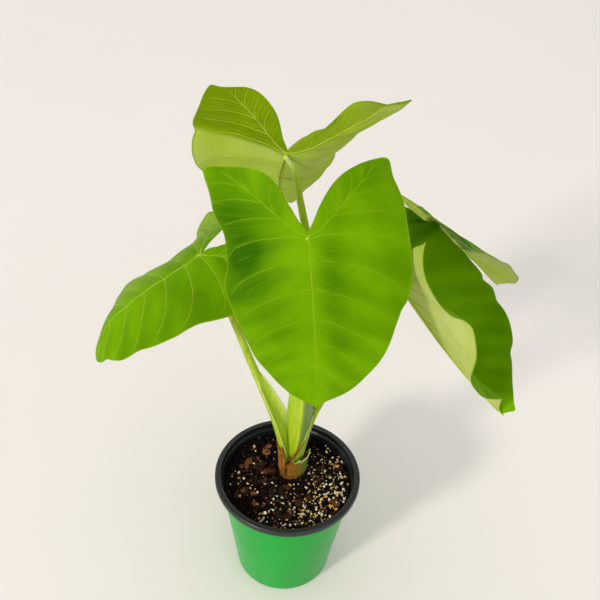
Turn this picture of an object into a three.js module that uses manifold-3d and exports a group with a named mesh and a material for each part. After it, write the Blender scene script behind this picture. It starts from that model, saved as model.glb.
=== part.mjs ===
// An elephant-ear plant with five lime-green, arrow-shaped leaves on long petioles, rooted in a
// two-tone nursery pot. Millimetres, +Z up. The origin is the middle of the pot's underside, and
// the front leaf faces -Y. Angles are in degrees, and places on a blade are in blade lengths.
import * as THREE from 'three';
import { mergeVertices } from 'three/addons/utils/BufferGeometryUtils.js';
import Module from 'manifold-3d';

const wasm = await Module();
wasm.setup();

// Clearance between pieces that touch on the real plant.
const GAP = 0.3;

// The pot: a green outer wall and a black inner one with a flat, turned-down rim.
const POT = {
  height: 138, rimRadius: 76, rimWidth: 6.2, rimDrop: 6, rimRound: 1.4, neck: 3,
  footRadius: 50.5, shoulderRadius: 69.5, wall: 0.9, footChamfer: 1,
  holes: 8, holeRadius: 4.5, holeCircle: 34, holeSides: 12, sides: 44,
};

// The potting mix, its surface a little uneven, with the bark chips that stand out of it.
const MIX = {
  top: 126.5, rings: 11, unevenness: 1.2, waves: [17, 14], slack: 0.5,
  chips: 70, chipSize: [3.3, 7.7], chipHeight: [0.9, 2.2], chipEdge: 1.6, seed: 7,
};

// The corm that carries the leaves, its lower part sunk in the mix.
const CORM = {
  x: 4.4, y: 12, sides: 20,
  profile: [[0, 96], [8, 96], [12, 106], [12.4, 127], [13.6, 138], [14.2, 146], [13, 150], [0, 151]],
};

// Rolled leaf bases in the middle: way points x, y, z and the radius at each.
const COLUMN = {
  path: [[4.5, 12, 139.5], [6, 11.2, 163], [7.4, 10, 190], [8, 9, 226], [8.4, 8, 258], [8.6, 7.6, 276]],
  radii: [6.8, 8.8, 11, 13.3, 12.2, 9.8], sides: 16, steps: 12,
};

// Margin of half a blade, u out from the midrib and v along it from the petiole to the tip.
const MARGIN = [
  [0, -0.02], [0.05, -0.12], [0.11, -0.24], [0.19, -0.345], [0.29, -0.4], [0.4, -0.43],
  [0.485, -0.415], [0.525, -0.34], [0.535, -0.2], [0.535, 0], [0.53, 0.2], [0.485, 0.42],
  [0.395, 0.62], [0.26, 0.8], [0.12, 0.92], [0.035, 0.975], [0, 1.01],
];
const BLADE = {
  thickness: 0.9, midrib: 1.7, ribs: 24, steps: 4, fan: 0.02, lean: 0.42,
  reach: 1.02, lobeReach: 0.75, spineSteps: 24, lobeSteps: 12, arcSteps: 6,
};

// Each leaf: blade length, the place where the petiole meets it, and how the blade is turned.
// droop, bow and twist bend the midrib along its length, and lobeBend bends it behind the petiole.
// A half has its width, lobe length and lobe spread, the fold off the midrib, the curl across it,
// and the margin's wave as height, number and phase. Pairs are the value at the petiole and the
// change over one blade length.
const LEAVES = {
  front: {
    length: 159.0, seat: [4.1, -40.7, 482.3], heading: -76, pitch: -54, roll: -13,
    droop: [33, 13], bow: 1.5, twist: 14, lobeBend: 18,
    right: {
      width: 1.02, lobe: 0.94, spread: 0.045, fold: [-7.5, -3], curl: [-76, -54],
      wave: [-0.027, 1.14, 0.17],
    },
    left: {
      width: 0.966, lobe: 0.885, spread: 0.024, fold: [7.5, 25], curl: [-79, 6],
      wave: [0.034, 1.12, 0.04],
    },
  },
  top: {
    length: 157.5, seat: [-18.5, 62.5, 493.4], heading: 124, pitch: -65, roll: -26.5,
    droop: [-27.5, 15], bow: 41, twist: 42.5, lobeBend: -62.5,
    right: {
      width: 0.806, lobe: 1.013, spread: 0.284, fold: [-20.5, 0], curl: [161, 55],
      wave: [0.093, 0.964, 0.168],
    },
    left: {
      width: 0.977, lobe: 0.967, spread: 0.016, fold: [19.6, 37.4], curl: [-32, 40.5],
      wave: [-0.021, 1.28, -0.175],
    },
  },
  left: {
    length: 147.4, seat: [-91.9, 35.9, 396.2], heading: -148.5, pitch: -28.1, roll: 2.2,
    droop: [-46.5, 218.5], bow: 4.6, twist: -3.3, lobeBend: 116.2,
    right: {
      width: 1.085, lobe: 0.898, spread: 0.202, fold: [-18.1, -8.9], curl: [-51.3, -17.5],
      wave: [-0.062, 0.789, 0.217],
    },
    left: {
      width: 0.983, lobe: 0.957, spread: -0.108, fold: [10.2, 0.8], curl: [-41.5, 29],
      wave: [0.041, 1.42, -0.179],
    },
  },
  right: {
    length: 179.8, seat: [86.8, -6.6, 412.0], heading: -1.8, pitch: -56.6, roll: 33.9,
    droop: [5.6, -37.5], bow: 11.8, twist: -34, lobeBend: -167,
    right: {
      width: 1.073, lobe: 0.835, spread: 0.045, fold: [19.2, 28.8], curl: [-82, -14],
      wave: [0.054, 1.353, 0.207],
    },
    left: {
      width: 0.78, lobe: 1.049, spread: 0.287, fold: [25.9, 59.6], curl: [205, -18.5],
      wave: [0.061, 1.348, 0.995],
    },
  },
  back: {
    length: 160.8, seat: [115.0, 74.6, 428.3], heading: 29, pitch: -46.6, roll: 7.3,
    droop: [15, -26], bow: -4.4, twist: 4.3, lobeBend: 15.8,
    right: {
      width: 0.83, lobe: 0.85, spread: -0.08, fold: [-1, 23], curl: [13, -68],
      wave: [0.025, 1.04, -0.19],
    },
    left: {
      width: 0.95, lobe: 0.85, spread: 0, fold: [-6, 24.6], curl: [-5, -34.5],
      wave: [0.018, 1.33, -0.07],
    },
  },
};

// Each petiole: way points from its root up to just below the blade, the radius at each of them
// and at the blade, and how far the last stretch turns square to the blade.
const PETIOLES = {
  front: {
    path: [[5.6, 3.4, 240], [5.6, 2, 280], [6, -4, 340], [5.4, -12, 400]],
    radii: [4, 4, 3.8, 3.4, 3], turn: 26,
  },
  top: {
    path: [
      [9, 12.6, 240], [8.6, 15, 280], [9, 27, 345], [7.1, 41, 402], [2.3, 46, 422.4],
      [-1.6, 50, 437.6], [-5.6, 54, 452.5], [-8.7, 58, 467.2], [-11.2, 60.5, 478],
    ],
    radii: [4, 3.9, 3.7, 3.5, 3.3, 3.1, 2.9], turn: 9,
  },
  back: {
    path: [[14.4, 5.6, 240], [18, 6.6, 276], [36, 18, 330], [66, 36, 388]],
    radii: [3.6, 3.8, 3.6, 3.3, 2.9], turn: 26,
  },
  left: {
    path: [
      [-3.2, 7.4, 141], [-4.2, 7.2, 160], [-7.9, 7, 178.4], [-16.3, 7, 214], [-31.5, 9.5, 257.7],
      [-45.2, 14.5, 292.5], [-61.5, 23, 332.8],
    ],
    radii: [3.4, 3.8, 4.2, 4.4, 4, 3.8, 3.5, 3.3, 3.1], turn: 26,
  },
  right: {
    path: [
      [9.6, 18.8, 141], [13, 21.6, 160], [17, 22.8, 181], [22, 21.6, 207], [28, 17.5, 232],
      [36.5, 12.5, 264], [51, 4, 315], [70, -3, 366],
    ],
    radii: [3.4, 3.9, 4.2, 4.4, 4.3, 4, 3.7, 3.3], turn: 26,
  },
};
const TUBE = { sides: 10, steps: 20 };

// The open sheath low on the left petiole: two flanges off the stem, each with its direction from
// +X towards +Y and its width, from the root to the sheath's tip at a share of the petiole.
const CHANNEL = {
  start: 0.07, end: 0.573, edge: 0.6,
  near: { from: -60, to: -98, width: 8.5 }, far: { from: 20, to: 8, width: 14 },
};

// The right petiole's sheath: it wraps the column from behind, its free edge rising across the front.
const WRAP = {
  bottom: 155, top: 222, thickness: 1.1, clear: 0.4, edgeLow: -118, edgeHigh: -14, back: 62,
  rows: 8, columns: 7,
};

// Short remains round the corm's top: the dry, papery base of an old leaf and the cut green one.
const REMAINS = {
  wander: 2.6, phase: 0.8, shoulder: 10,
  dry: {
    from: 158, to: 262, bottom: 138, top: 181, lean: 3.4, inner: 14.5, thickness: 1, notch: 9,
    columns: 10, rows: 5,
  },
  cut: {
    from: -92, to: 34, bottom: 138, top: 166, lean: 4.2, inner: 14.5, thickness: 1.2, notch: 5,
    columns: 12, rows: 4,
  },
};

const rad = THREE.MathUtils.degToRad;
const lerp = THREE.MathUtils.lerp;
const vec = (p) => new THREE.Vector3(...p);
const smooth = (points) => new THREE.CatmullRomCurve3(points, false, 'catmullrom', 0.5);

// Two crossing unit vectors, turned together by an angle from the first towards the second.
function turn(a, b, angle) {
  const c = Math.cos(angle);
  const s = Math.sin(angle);
  return [
    a.clone().multiplyScalar(c).addScaledVector(b, s),
    b.clone().multiplyScalar(c).addScaledVector(a, -s),
  ];
}

// A geometry from points and triangles, its faces turned outwards.
function solid(points, triangles) {
  const volume = triangles.reduce((sum, [a, b, c]) => (
    sum + points[a].dot(new THREE.Vector3().crossVectors(points[b], points[c]))), 0);
  const outward = volume < 0 ? triangles.map(([a, b, c]) => [a, c, b]) : triangles;
  const geometry = new THREE.BufferGeometry().setFromPoints(points);
  geometry.setIndex(outward.flat());
  return geometry;
}

// A closed skin over rings of equally many points, each end closed by a fan round its middle.
function loft(rings) {
  const sides = rings[0].length;
  const middle = (ring) => ring.reduce((sum, p) => sum.add(p), new THREE.Vector3()).divideScalar(sides);
  const points = [...rings.flat(), middle(rings[0]), middle(rings.at(-1))];
  const triangles = [];
  for (let i = 0; i < sides; i += 1) {
    const j = (i + 1) % sides;
    const last = (rings.length - 1) * sides;
    triangles.push([points.length - 2, j, i], [points.length - 1, last + i, last + j]);
    for (let r = 0; r < rings.length - 1; r += 1) {
      const [a, b] = [r * sides, (r + 1) * sides];
      triangles.push([a + i, a + j, b + j], [a + i, b + j, b + i]);
    }
  }
  return solid(points, triangles);
}

// A plate between two like grids of points, closed round its edge.
function plate(inner, outer) {
  const [rows, columns] = [inner.length, inner[0].length];
  const at = (r, c) => r * columns + c;
  const far = rows * columns;
  const triangles = [];
  for (let r = 0; r < rows - 1; r += 1) {
    for (let c = 0; c < columns - 1; c += 1) {
      const [p, q, s, t] = [at(r, c), at(r, c + 1), at(r + 1, c + 1), at(r + 1, c)];
      triangles.push([p, q, s], [p, s, t], [far + p, far + s, far + q], [far + p, far + t, far + s]);
    }
  }
  const rim = [];
  for (let c = 0; c < columns - 1; c += 1) rim.push([at(0, c), at(0, c + 1)]);
  for (let r = 0; r < rows - 1; r += 1) rim.push([at(r, columns - 1), at(r + 1, columns - 1)]);
  for (let c = columns - 1; c > 0; c -= 1) rim.push([at(rows - 1, c), at(rows - 1, c - 1)]);
  for (let r = rows - 1; r > 0; r -= 1) rim.push([at(r, 0), at(r - 1, 0)]);
  rim.forEach(([a, b]) => triangles.push([b, a, far + a], [b, far + a, far + b]));
  return solid([...inner.flat(), ...outer.flat()], triangles);
}

// A lathed solid from a profile of radius and height that starts and ends on the axis or closes.
function lathe(profile, sides, x = 0, y = 0) {
  const geometry = new THREE.LatheGeometry(profile.map(([r, z]) => new THREE.Vector2(r, z)), sides);
  geometry.rotateX(Math.PI / 2);
  geometry.translate(x, y, 0);
  return geometry;
}

// Joins and cuts are made on merged, outward-facing solids.
function body(geometry) {
  const bare = new THREE.BufferGeometry().setAttribute('position', geometry.attributes.position);
  bare.setIndex(geometry.index);
  const merged = mergeVertices(bare, 1e-4);
  const index = Array.from(merged.index.array);
  const corners = [];
  for (let i = 0; i < index.length; i += 3) {
    const [a, b, c] = index.slice(i, i + 3);
    if (a !== b && b !== c && c !== a) corners.push([a, b, c]);
  }
  const spots = [];
  for (let i = 0; i < merged.attributes.position.count; i += 1) {
    spots.push(new THREE.Vector3().fromBufferAttribute(merged.attributes.position, i));
  }
  const outward = solid(spots, corners);
  return new wasm.Manifold(new wasm.Mesh({
    numProp: 3,
    vertProperties: new Float32Array(outward.attributes.position.array),
    triVerts: new Uint32Array(outward.index.array),
  }));
}

function geometryOf(manifold) {
  const mesh = manifold.getMesh();
  const geometry = new THREE.BufferGeometry();
  const places = new Float32Array(mesh.vertProperties);
  geometry.setAttribute('position', new THREE.BufferAttribute(places, 3));
  geometry.setIndex(new THREE.BufferAttribute(new Uint32Array(mesh.triVerts), 1));
  return geometry;
}

// Radii given at evenly shared way points, read anywhere along the way.
function readAlong(values, t) {
  const place = Math.min(t, 1) * (values.length - 1);
  const low = Math.min(Math.floor(place), values.length - 2);
  return lerp(values[low], values[low + 1], place - low);
}

// Rings of a section swept along a curve. The section is a function of the share of the way that
// gives directions in degrees and radii, and side is the direction that 0 degrees starts from.
function sweep(curve, steps, section, side = new THREE.Vector3(1, 0, 0)) {
  const rings = [];
  let across = side.clone();
  for (let i = 0; i <= steps; i += 1) {
    const t = i / steps;
    const along = curve.getTangent(t);
    across = across.clone().addScaledVector(along, -across.dot(along)).normalize();
    const up = new THREE.Vector3().crossVectors(along, across);
    rings.push(section(t).map(([angle, radius]) => curve.getPoint(t)
      .addScaledVector(across, radius * Math.cos(rad(angle)))
      .addScaledVector(up, radius * Math.sin(rad(angle)))));
  }
  return loft(rings);
}

const round = (radii, sides, grow = 0) => (t) => Array.from(
  { length: sides }, (_, k) => [(360 * k) / sides, readAlong(radii, t) + grow]);

// The blade's midrib as frames: a point, the direction across to the blade's right, and up.
function spine(leaf) {
  const [heading, pitch, roll] = [leaf.heading, leaf.pitch, leaf.roll].map(rad);
  const along = new THREE.Vector3(
    Math.cos(pitch) * Math.cos(heading), Math.cos(pitch) * Math.sin(heading), Math.sin(pitch));
  const level = new THREE.Vector3(Math.sin(heading), -Math.cos(heading), 0);
  const [across, up] = turn(level, new THREE.Vector3().crossVectors(level, along), roll);
  const walk = (sign, steps, reach, [bend, more], bow, twist) => {
    let [t, b, n] = [along, across, up];
    const point = vec(leaf.seat);
    const frames = [{ v: 0, point: point.clone(), across: b, up: n }];
    const stride = reach / steps;
    for (let i = 0; i < steps; i += 1) {
      const angle = -sign * rad(bend + more * (i + 0.5) * stride) * stride;
      point.addScaledVector(turn(t, n, angle / 2)[0], sign * stride * leaf.length);
      [t, n] = turn(t, n, angle);
      [t, b] = turn(t, b, rad(bow) * stride);
      [b, n] = turn(b, n, rad(twist) * stride);
      frames.push({ v: sign * (i + 1) * stride, point: point.clone(), across: b, up: n });
    }
    return frames;
  };
  const forth = walk(1, BLADE.spineSteps, BLADE.reach, leaf.droop, leaf.bow, leaf.twist);
  const back = walk(-1, BLADE.lobeSteps, BLADE.lobeReach, [leaf.lobeBend, 0], 0, 0);
  return [...back.slice(1).reverse(), ...forth];
}

function frameAt(frames, v) {
  const next = Math.max(1, frames.findIndex((f) => f.v >= v));
  const [a, b] = [frames[next - 1], frames[next]];
  const t = (v - a.v) / (b.v - a.v);
  return {
    point: a.point.clone().lerp(b.point, t),
    across: a.across.clone().lerp(b.across, t),
    up: a.up.clone().lerp(b.up, t),
  };
}

// A place on the bent blade, with the direction square to it there.
function bend(leaf, frames, side, u, v) {
  const half = leaf[side];
  const { point, across, up } = frameAt(frames, v);
  const out = across.clone().multiplyScalar(side === 'right' ? 1 : -1);
  const fold = rad(half.fold[0] + half.fold[1] * v);
  const curl = rad(half.curl[0] + half.curl[1] * v);
  let [x, z] = [0, 0];
  for (let i = 0; i < BLADE.arcSteps; i += 1) {
    const angle = fold + (curl * u * (i + 0.5)) / BLADE.arcSteps;
    x += (Math.cos(angle) * u) / BLADE.arcSteps;
    z += (Math.sin(angle) * u) / BLADE.arcSteps;
  }
  const [height, number, phase] = half.wave;
  const wave = height * (u / 0.5) ** 2 * Math.sin(2 * Math.PI * (number * v + phase));
  const end = fold + curl * u;
  x -= wave * Math.sin(end);
  z += wave * Math.cos(end);
  const square = u === 0 ? up.clone()
    : up.clone().multiplyScalar(Math.cos(end)).addScaledVector(out, -Math.sin(end));
  return {
    point: point.addScaledVector(out, x * leaf.length).addScaledVector(up, z * leaf.length),
    square: square.normalize(),
  };
}

// The margin of one half, from the notch behind the petiole to the tip.
function marginOf({ width, lobe, spread }) {
  const curve = smooth(MARGIN.map(([u, v]) => new THREE.Vector3(
    u * width + spread * Math.max(-v, 0) * Math.sqrt(u / 0.5), v < 0 ? v * lobe : v, 0)));
  const between = Array.from({ length: BLADE.ribs - 1 }, (_, i) => {
    const p = curve.getPoint((i + 1) / BLADE.ribs);
    return [p.x, p.y];
  });
  return [MARGIN[0], ...between, MARGIN.at(-1)];
}

// Where each rib leaves the midrib, the same for both halves of a blade.
const ROOTS = marginOf({ width: 1, lobe: 1, spread: 0 }).map(([u, v]) => (
  Math.max(BLADE.fan, v - BLADE.lean * u)));

// A blade: ribs run from the midrib to the margin, and both faces have the same triangles. The
// midrib stands out of the underside and thins towards the tip.
function blade(leaf, grow = 0) {
  const thick = BLADE.thickness / 2 + grow;
  const frames = spine(leaf);
  const corners = new Map();
  const upper = [];
  const lower = [];
  const corner = (side, u, v) => {
    const key = u === 0 ? `mid ${v.toFixed(6)}` : `${side} ${u.toFixed(6)} ${v.toFixed(6)}`;
    if (!corners.has(key)) {
      const { point, square } = bend(leaf, frames, side, u, v);
      const keel = u === 0 && v > 0 ? BLADE.midrib * (1 - v / 1.05) : 0;
      corners.set(key, upper.length);
      upper.push(point.clone().addScaledVector(square, thick));
      lower.push(point.clone().addScaledVector(square, -thick - keel));
    }
    return corners.get(key);
  };
  const faces = [];
  const rims = {};
  for (const side of ['right', 'left']) {
    const ribs = marginOf(leaf[side]).map(([u, v], i) => (
      Array.from({ length: BLADE.steps + 1 }, (_, k) => {
        const s = k / BLADE.steps;
        return corner(side, u * s, lerp(ROOTS[i], v, s));
      })));
    const flip = side === 'left';
    for (let i = 0; i < BLADE.ribs; i += 1) {
      for (let k = 0; k < BLADE.steps; k += 1) {
        const [a, b, c, d] = [ribs[i][k], ribs[i][k + 1], ribs[i + 1][k + 1], ribs[i + 1][k]];
        for (const face of [[a, b, c], [a, c, d]]) {
          if (new Set(face).size === 3) faces.push(flip ? face.reverse() : face);
        }
      }
    }
    rims[side] = ribs.map((rib) => rib.at(-1));
  }
  const far = upper.length;
  const triangles = [...faces, ...faces.map(([a, b, c]) => [far + a, far + c, far + b])];
  const loop = [...rims.right, ...rims.left.slice(1, -1).reverse()];
  loop.forEach((a, i) => {
    const b = loop[(i + 1) % loop.length];
    triangles.push([b, a, far + a], [b, far + a, far + b]);
  });
  return solid([...upper, ...lower], triangles);
}

// A petiole's curve ends square to the blade, just clear of the midrib's root.
function petioleCurve(name, deeper = 0) {
  const { path, turn: reach } = PETIOLES[name];
  const { point, up } = frameAt(spine(LEAVES[name]), BLADE.fan);
  const end = point.addScaledVector(up.normalize(), -BLADE.thickness / 2 - BLADE.midrib - GAP);
  const points = path.map(vec);
  const rise = points[1].clone().sub(points[0]).normalize();
  points[0].addScaledVector(rise, -deeper);
  return smooth([...points, end.clone().addScaledVector(up, -reach), end]);
}

const plain = (name, grow = 0) => sweep(
  petioleCurve(name, grow), TUBE.steps, round(PETIOLES[name].radii, TUBE.sides, grow));

// A stem is cut back where its own blade, or the column, would touch it.
const seated = (name, stem) => geometryOf(
  stem.subtract(body(blade(LEAVES[name], GAP))).subtract(body(column(GAP))));
const free = (name) => geometryOf(body(plain(name)).subtract(body(blade(LEAVES[name], GAP))));

// The column's axis and its radius at a height.
const columnCurve = (deeper = 0) => {
  const points = COLUMN.path.map(vec);
  points[0].z -= deeper;
  return smooth(points);
};
const column = (grow = 0) => sweep(
  columnCurve(grow), COLUMN.steps, round(COLUMN.radii, COLUMN.sides, grow));

function columnAt(z) {
  const { path, radii } = COLUMN;
  const next = Math.max(1, path.findIndex((p) => p[2] >= z));
  const t = (z - path[next - 1][2]) / (path[next][2] - path[next - 1][2]);
  return {
    x: lerp(path[next - 1][0], path[next][0], t),
    y: lerp(path[next - 1][1], path[next][1], t),
    radius: lerp(radii[next - 1], radii[next], t),
  };
}

// The left petiole: a stem with two flanges that run out at the sheath's tip.
function leftPetiole() {
  const radii = PETIOLES.left.radii;
  const section = (t) => {
    const radius = readAlong(radii, t);
    const share = THREE.MathUtils.clamp((t - CHANNEL.start) / (CHANNEL.end - CHANNEL.start), 0, 1);
    const swell = Math.sin(Math.PI * share) ** 0.8;
    const flange = ({ from, to, width }) => {
      const reach = Math.max(radius * 1.02, width * swell);
      const edge = THREE.MathUtils.radToDeg(Math.asin(CHANNEL.edge / reach));
      const angle = lerp(from, to, share);
      return [[angle - edge, reach], [angle + edge, reach]];
    };
    const near = flange(CHANNEL.near);
    const far = flange(CHANNEL.far);
    const between = (near[1][0] + far[0][0]) / 2;
    const outer = [45, 75, 105, 140, 175, 210].map((step) => [far[1][0] + step, radius]);
    return [...near, [between - 18, radius * 0.8], [between + 18, radius * 0.8], ...far, ...outer];
  };
  return seated('left', body(sweep(petioleCurve('left'), 30, section)));
}

// The right petiole: its sheath is a thin sheet round the column, joined to the stem behind it.
function rightPetiole() {
  const [inner, outer] = [0, WRAP.thickness].map((thickness) => Array.from(
    { length: WRAP.rows + 1 }, (_, r) => {
      const share = r / WRAP.rows;
      const z = lerp(WRAP.bottom, WRAP.top, share);
      const { x, y, radius } = columnAt(z);
      const edge = lerp(WRAP.edgeLow, WRAP.edgeHigh, share ** 0.8);
      return Array.from({ length: WRAP.columns + 1 }, (_, c) => {
        const angle = rad(lerp(edge, WRAP.back, c / WRAP.columns));
        const reach = radius + WRAP.clear + thickness;
        return new THREE.Vector3(x + reach * Math.cos(angle), y + reach * Math.sin(angle), z);
      });
    }));
  const sheet = body(plate(inner, outer));
  return seated('right', body(plain('right')).add(sheet));
}

// A short curved remnant that stands round the corm's top, with a ragged upper edge.
function remnant({ from, to, bottom, top, lean, inner: start, thickness, notch, columns, rows }) {
  const grid = (thick) => Array.from({ length: rows + 1 }, (_, r) => (
    Array.from({ length: columns + 1 }, (_, c) => {
      const angle = rad(lerp(from, to, c / columns));
      const ragged = notch * (0.5 + 0.5 * Math.cos(REMAINS.wander * c + REMAINS.phase));
      const edge = top - ragged - REMAINS.shoulder * (2 * (c / columns) - 1) ** 4;
      const z = lerp(bottom, edge, r / rows);
      const reach = start + lean * ((z - bottom) / (top - bottom)) ** 2 + thick;
      return new THREE.Vector3(CORM.x + reach * Math.cos(angle), CORM.y + reach * Math.sin(angle), z);
    })));
  return plate(grid(0), grid(thickness));
}

// The corm, with sockets for the column and the two outer petioles.
function corm() {
  const whole = body(lathe(CORM.profile, CORM.sides, CORM.x, CORM.y));
  const sockets = [column(GAP), plain('left', 2 * GAP), plain('right', GAP)].map(body);
  return geometryOf(sockets.reduce((rest, socket) => rest.subtract(socket), whole));
}

// The pot's two walls. The black one stands inside the green one, and its rim covers the top edge.
const top = POT.height;
const ledge = top - POT.rimDrop;
const slope = (POT.shoulderRadius - POT.footRadius) / ledge;
const outerAt = (z) => POT.footRadius + slope * z;

function drained(profile) {
  const { holes, holeRadius, holeCircle, holeSides, sides, height } = POT;
  let wall = body(lathe(profile, sides));
  for (let i = 0; i < holes; i += 1) {
    const angle = (2 * Math.PI * (i + 0.5)) / holes;
    const drill = new THREE.CylinderGeometry(holeRadius, holeRadius, height / 10, holeSides);
    drill.rotateX(Math.PI / 2);
    drill.translate(holeCircle * Math.cos(angle), holeCircle * Math.sin(angle), 0);
    wall = wall.subtract(body(drill));
  }
  return geometryOf(wall);
}

function potWall() {
  const { wall, footRadius, footChamfer } = POT;
  const edge = ledge - wall;
  return drained([
    [0, 0], [footRadius - footChamfer, 0], [outerAt(footChamfer), footChamfer],
    [outerAt(edge), edge], [outerAt(edge) - wall, edge], [outerAt(wall) - wall, wall], [0, wall],
  ]);
}

const linerAt = (z) => outerAt(z) - POT.wall - GAP;
const linerFloor = POT.wall + GAP;

function potLiner() {
  const { wall, rimRadius, rimWidth, rimRound, neck } = POT;
  const mouth = rimRadius - rimWidth;
  const inner = rimRadius - wall;
  const under = top - wall;
  const seat = ledge - wall + GAP;
  const low = ledge - neck;
  const floor = linerFloor + wall;
  return drained([
    [0, linerFloor], [linerAt(linerFloor), linerFloor], [linerAt(low), low],
    [linerAt(ledge), seat], [mouth + wall / 2, seat], [mouth + wall, under],
    [inner - rimRound / 2, under], [inner, under - rimRound / 2], [inner, ledge],
    [rimRadius, ledge], [rimRadius, top - rimRound], [rimRadius - rimRound, top], [mouth, top],
    [mouth - GAP, ledge + rimRound], [linerAt(ledge) - wall, seat - wall],
    [linerAt(low) - wall, low - wall], [linerAt(floor) - wall, floor], [0, floor],
  ]);
}

// A small generator of even random numbers from 0 to 1, the same each time.
function seeded(seed) {
  let state = seed;
  return () => {
    state = (state * 16807) % 2147483647;
    return state / 2147483647;
  };
}

// The mix fills the liner. Its surface rolls a little, and bark chips stand out of it.
function mix() {
  const { waves, chipSize, chipHeight, chipEdge, unevenness, slack } = MIX;
  const random = seeded(MIX.seed);
  const surface = linerAt(MIX.top) - POT.wall - slack;
  const chips = Array.from({ length: MIX.chips }, () => {
    const angle = 2 * Math.PI * random();
    const reach = surface * Math.sqrt(random());
    return {
      x: reach * Math.cos(angle),
      y: reach * Math.sin(angle),
      size: lerp(...chipSize, random()),
      height: lerp(...chipHeight, random()),
    };
  });
  const heightAt = (x, y) => {
    const rolling = unevenness * (Math.sin(x / waves[0]) * Math.cos(y / waves[1]) - 1);
    const chip = Math.max(0, ...chips.map((c) => {
      const away = Math.hypot(x - c.x, y - c.y) / c.size;
      return c.height * THREE.MathUtils.smoothstep(chipEdge - away, 0, 1);
    }));
    return MIX.top + rolling + chip;
  };
  const floor = linerFloor + POT.wall + GAP;
  const ringAt = (radius, height) => Array.from({ length: POT.sides }, (_, k) => {
    const angle = (2 * Math.PI * k) / POT.sides;
    const [x, y] = [radius * Math.cos(angle), radius * Math.sin(angle)];
    return new THREE.Vector3(x, y, height === undefined ? heightAt(x, y) : height);
  });
  const rings = [ringAt(linerAt(floor) - POT.wall - slack, floor)];
  for (let i = MIX.rings; i > 0; i -= 1) rings.push(ringAt((surface * i) / MIX.rings));
  const root = CORM.profile[0][1];
  const hole = CORM.profile.map(([r, z]) => [r === 0 ? 0 : r + GAP, z === root ? z - GAP : z]);
  return geometryOf(body(loft(rings)).subtract(body(lathe(hole, CORM.sides, CORM.x, CORM.y))));
}

// The column, with a socket for each of the three petioles that come out of its top.
function rolledColumn() {
  const sockets = ['front', 'top', 'back'].map((name) => body(plain(name, GAP)));
  return geometryOf(sockets.reduce((rest, socket) => rest.subtract(socket), body(column())));
}

const FINISH = {
  potGreen: { color: 0x3fbf5c, roughness: 0.38 },
  potBlack: { color: 0x1c2226, roughness: 0.42 },
  mix: { color: 0x2a1c14, roughness: 0.95 },
  corm: { color: 0x9a6a35, roughness: 0.85 },
  dry: { color: 0x8a5427, roughness: 0.9 },
  petiole: { color: 0xa9cc3c, roughness: 0.45 },
  blade: { color: 0x6fae0c, roughness: 0.5 },
};

const plant = new THREE.Group();

function piece(name, geometry, finish) {
  const material = new THREE.MeshStandardMaterial({ metalness: 0, ...FINISH[finish] });
  const mesh = new THREE.Mesh(geometry, material);
  mesh.name = name;
  plant.add(mesh);
}

piece('pot_wall', potWall(), 'potGreen');
piece('pot_liner', potLiner(), 'potBlack');
piece('potting_mix', mix(), 'mix');
piece('corm', corm(), 'corm');
piece('dry_leaf_base', remnant(REMAINS.dry), 'dry');
piece('cut_leaf_base', remnant(REMAINS.cut), 'petiole');
piece('leaf_base_column', rolledColumn(), 'petiole');
piece('petiole_front', free('front'), 'petiole');
piece('petiole_top', free('top'), 'petiole');
piece('petiole_back', free('back'), 'petiole');
piece('petiole_left', leftPetiole(), 'petiole');
piece('petiole_right', rightPetiole(), 'petiole');
for (const name of Object.keys(LEAVES)) piece(`blade_${name}`, blade(LEAVES[name]), 'blade');

export default plant;
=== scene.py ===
"""Dressed model of a potted, lime-green elephant-ear plant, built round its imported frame.

Five arrow-shaped leaves stand on long petioles in a two-tone nursery pot. Sizes are millimetres in
the part's own frame until a mesh is made of them. Places on a leaf blade are in blade lengths: u
out from the midrib and v along it, from the petiole to the tip.
"""
import logging
import math
from collections.abc import Callable, Sequence
from dataclasses import dataclass, field, replace
from enum import Enum

import bpy
import numpy as np
from mathutils import Matrix, Vector, noise


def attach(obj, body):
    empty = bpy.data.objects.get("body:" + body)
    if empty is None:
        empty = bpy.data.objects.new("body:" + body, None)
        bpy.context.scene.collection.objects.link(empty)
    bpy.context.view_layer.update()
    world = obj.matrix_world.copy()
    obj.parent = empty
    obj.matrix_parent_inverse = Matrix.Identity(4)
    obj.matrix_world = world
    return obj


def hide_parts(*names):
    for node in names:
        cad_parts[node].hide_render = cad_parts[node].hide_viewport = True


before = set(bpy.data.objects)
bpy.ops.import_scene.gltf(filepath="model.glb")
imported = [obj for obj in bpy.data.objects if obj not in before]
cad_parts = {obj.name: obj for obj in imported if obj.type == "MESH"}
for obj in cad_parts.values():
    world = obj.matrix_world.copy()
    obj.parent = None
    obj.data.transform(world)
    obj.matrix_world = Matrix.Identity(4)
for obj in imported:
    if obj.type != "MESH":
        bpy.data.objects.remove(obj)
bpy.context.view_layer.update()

LOG = logging.getLogger("plant")
MM = 0.001
BODY = "root"
Array = np.ndarray
Mesh = bpy.types.Mesh
Thing = bpy.types.Object
Material = bpy.types.Material
Socket = bpy.types.NodeSocket
Pair = tuple[float, float]
Triple = tuple[float, float, float]
Colour = Triple


# Curves and grids

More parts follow.
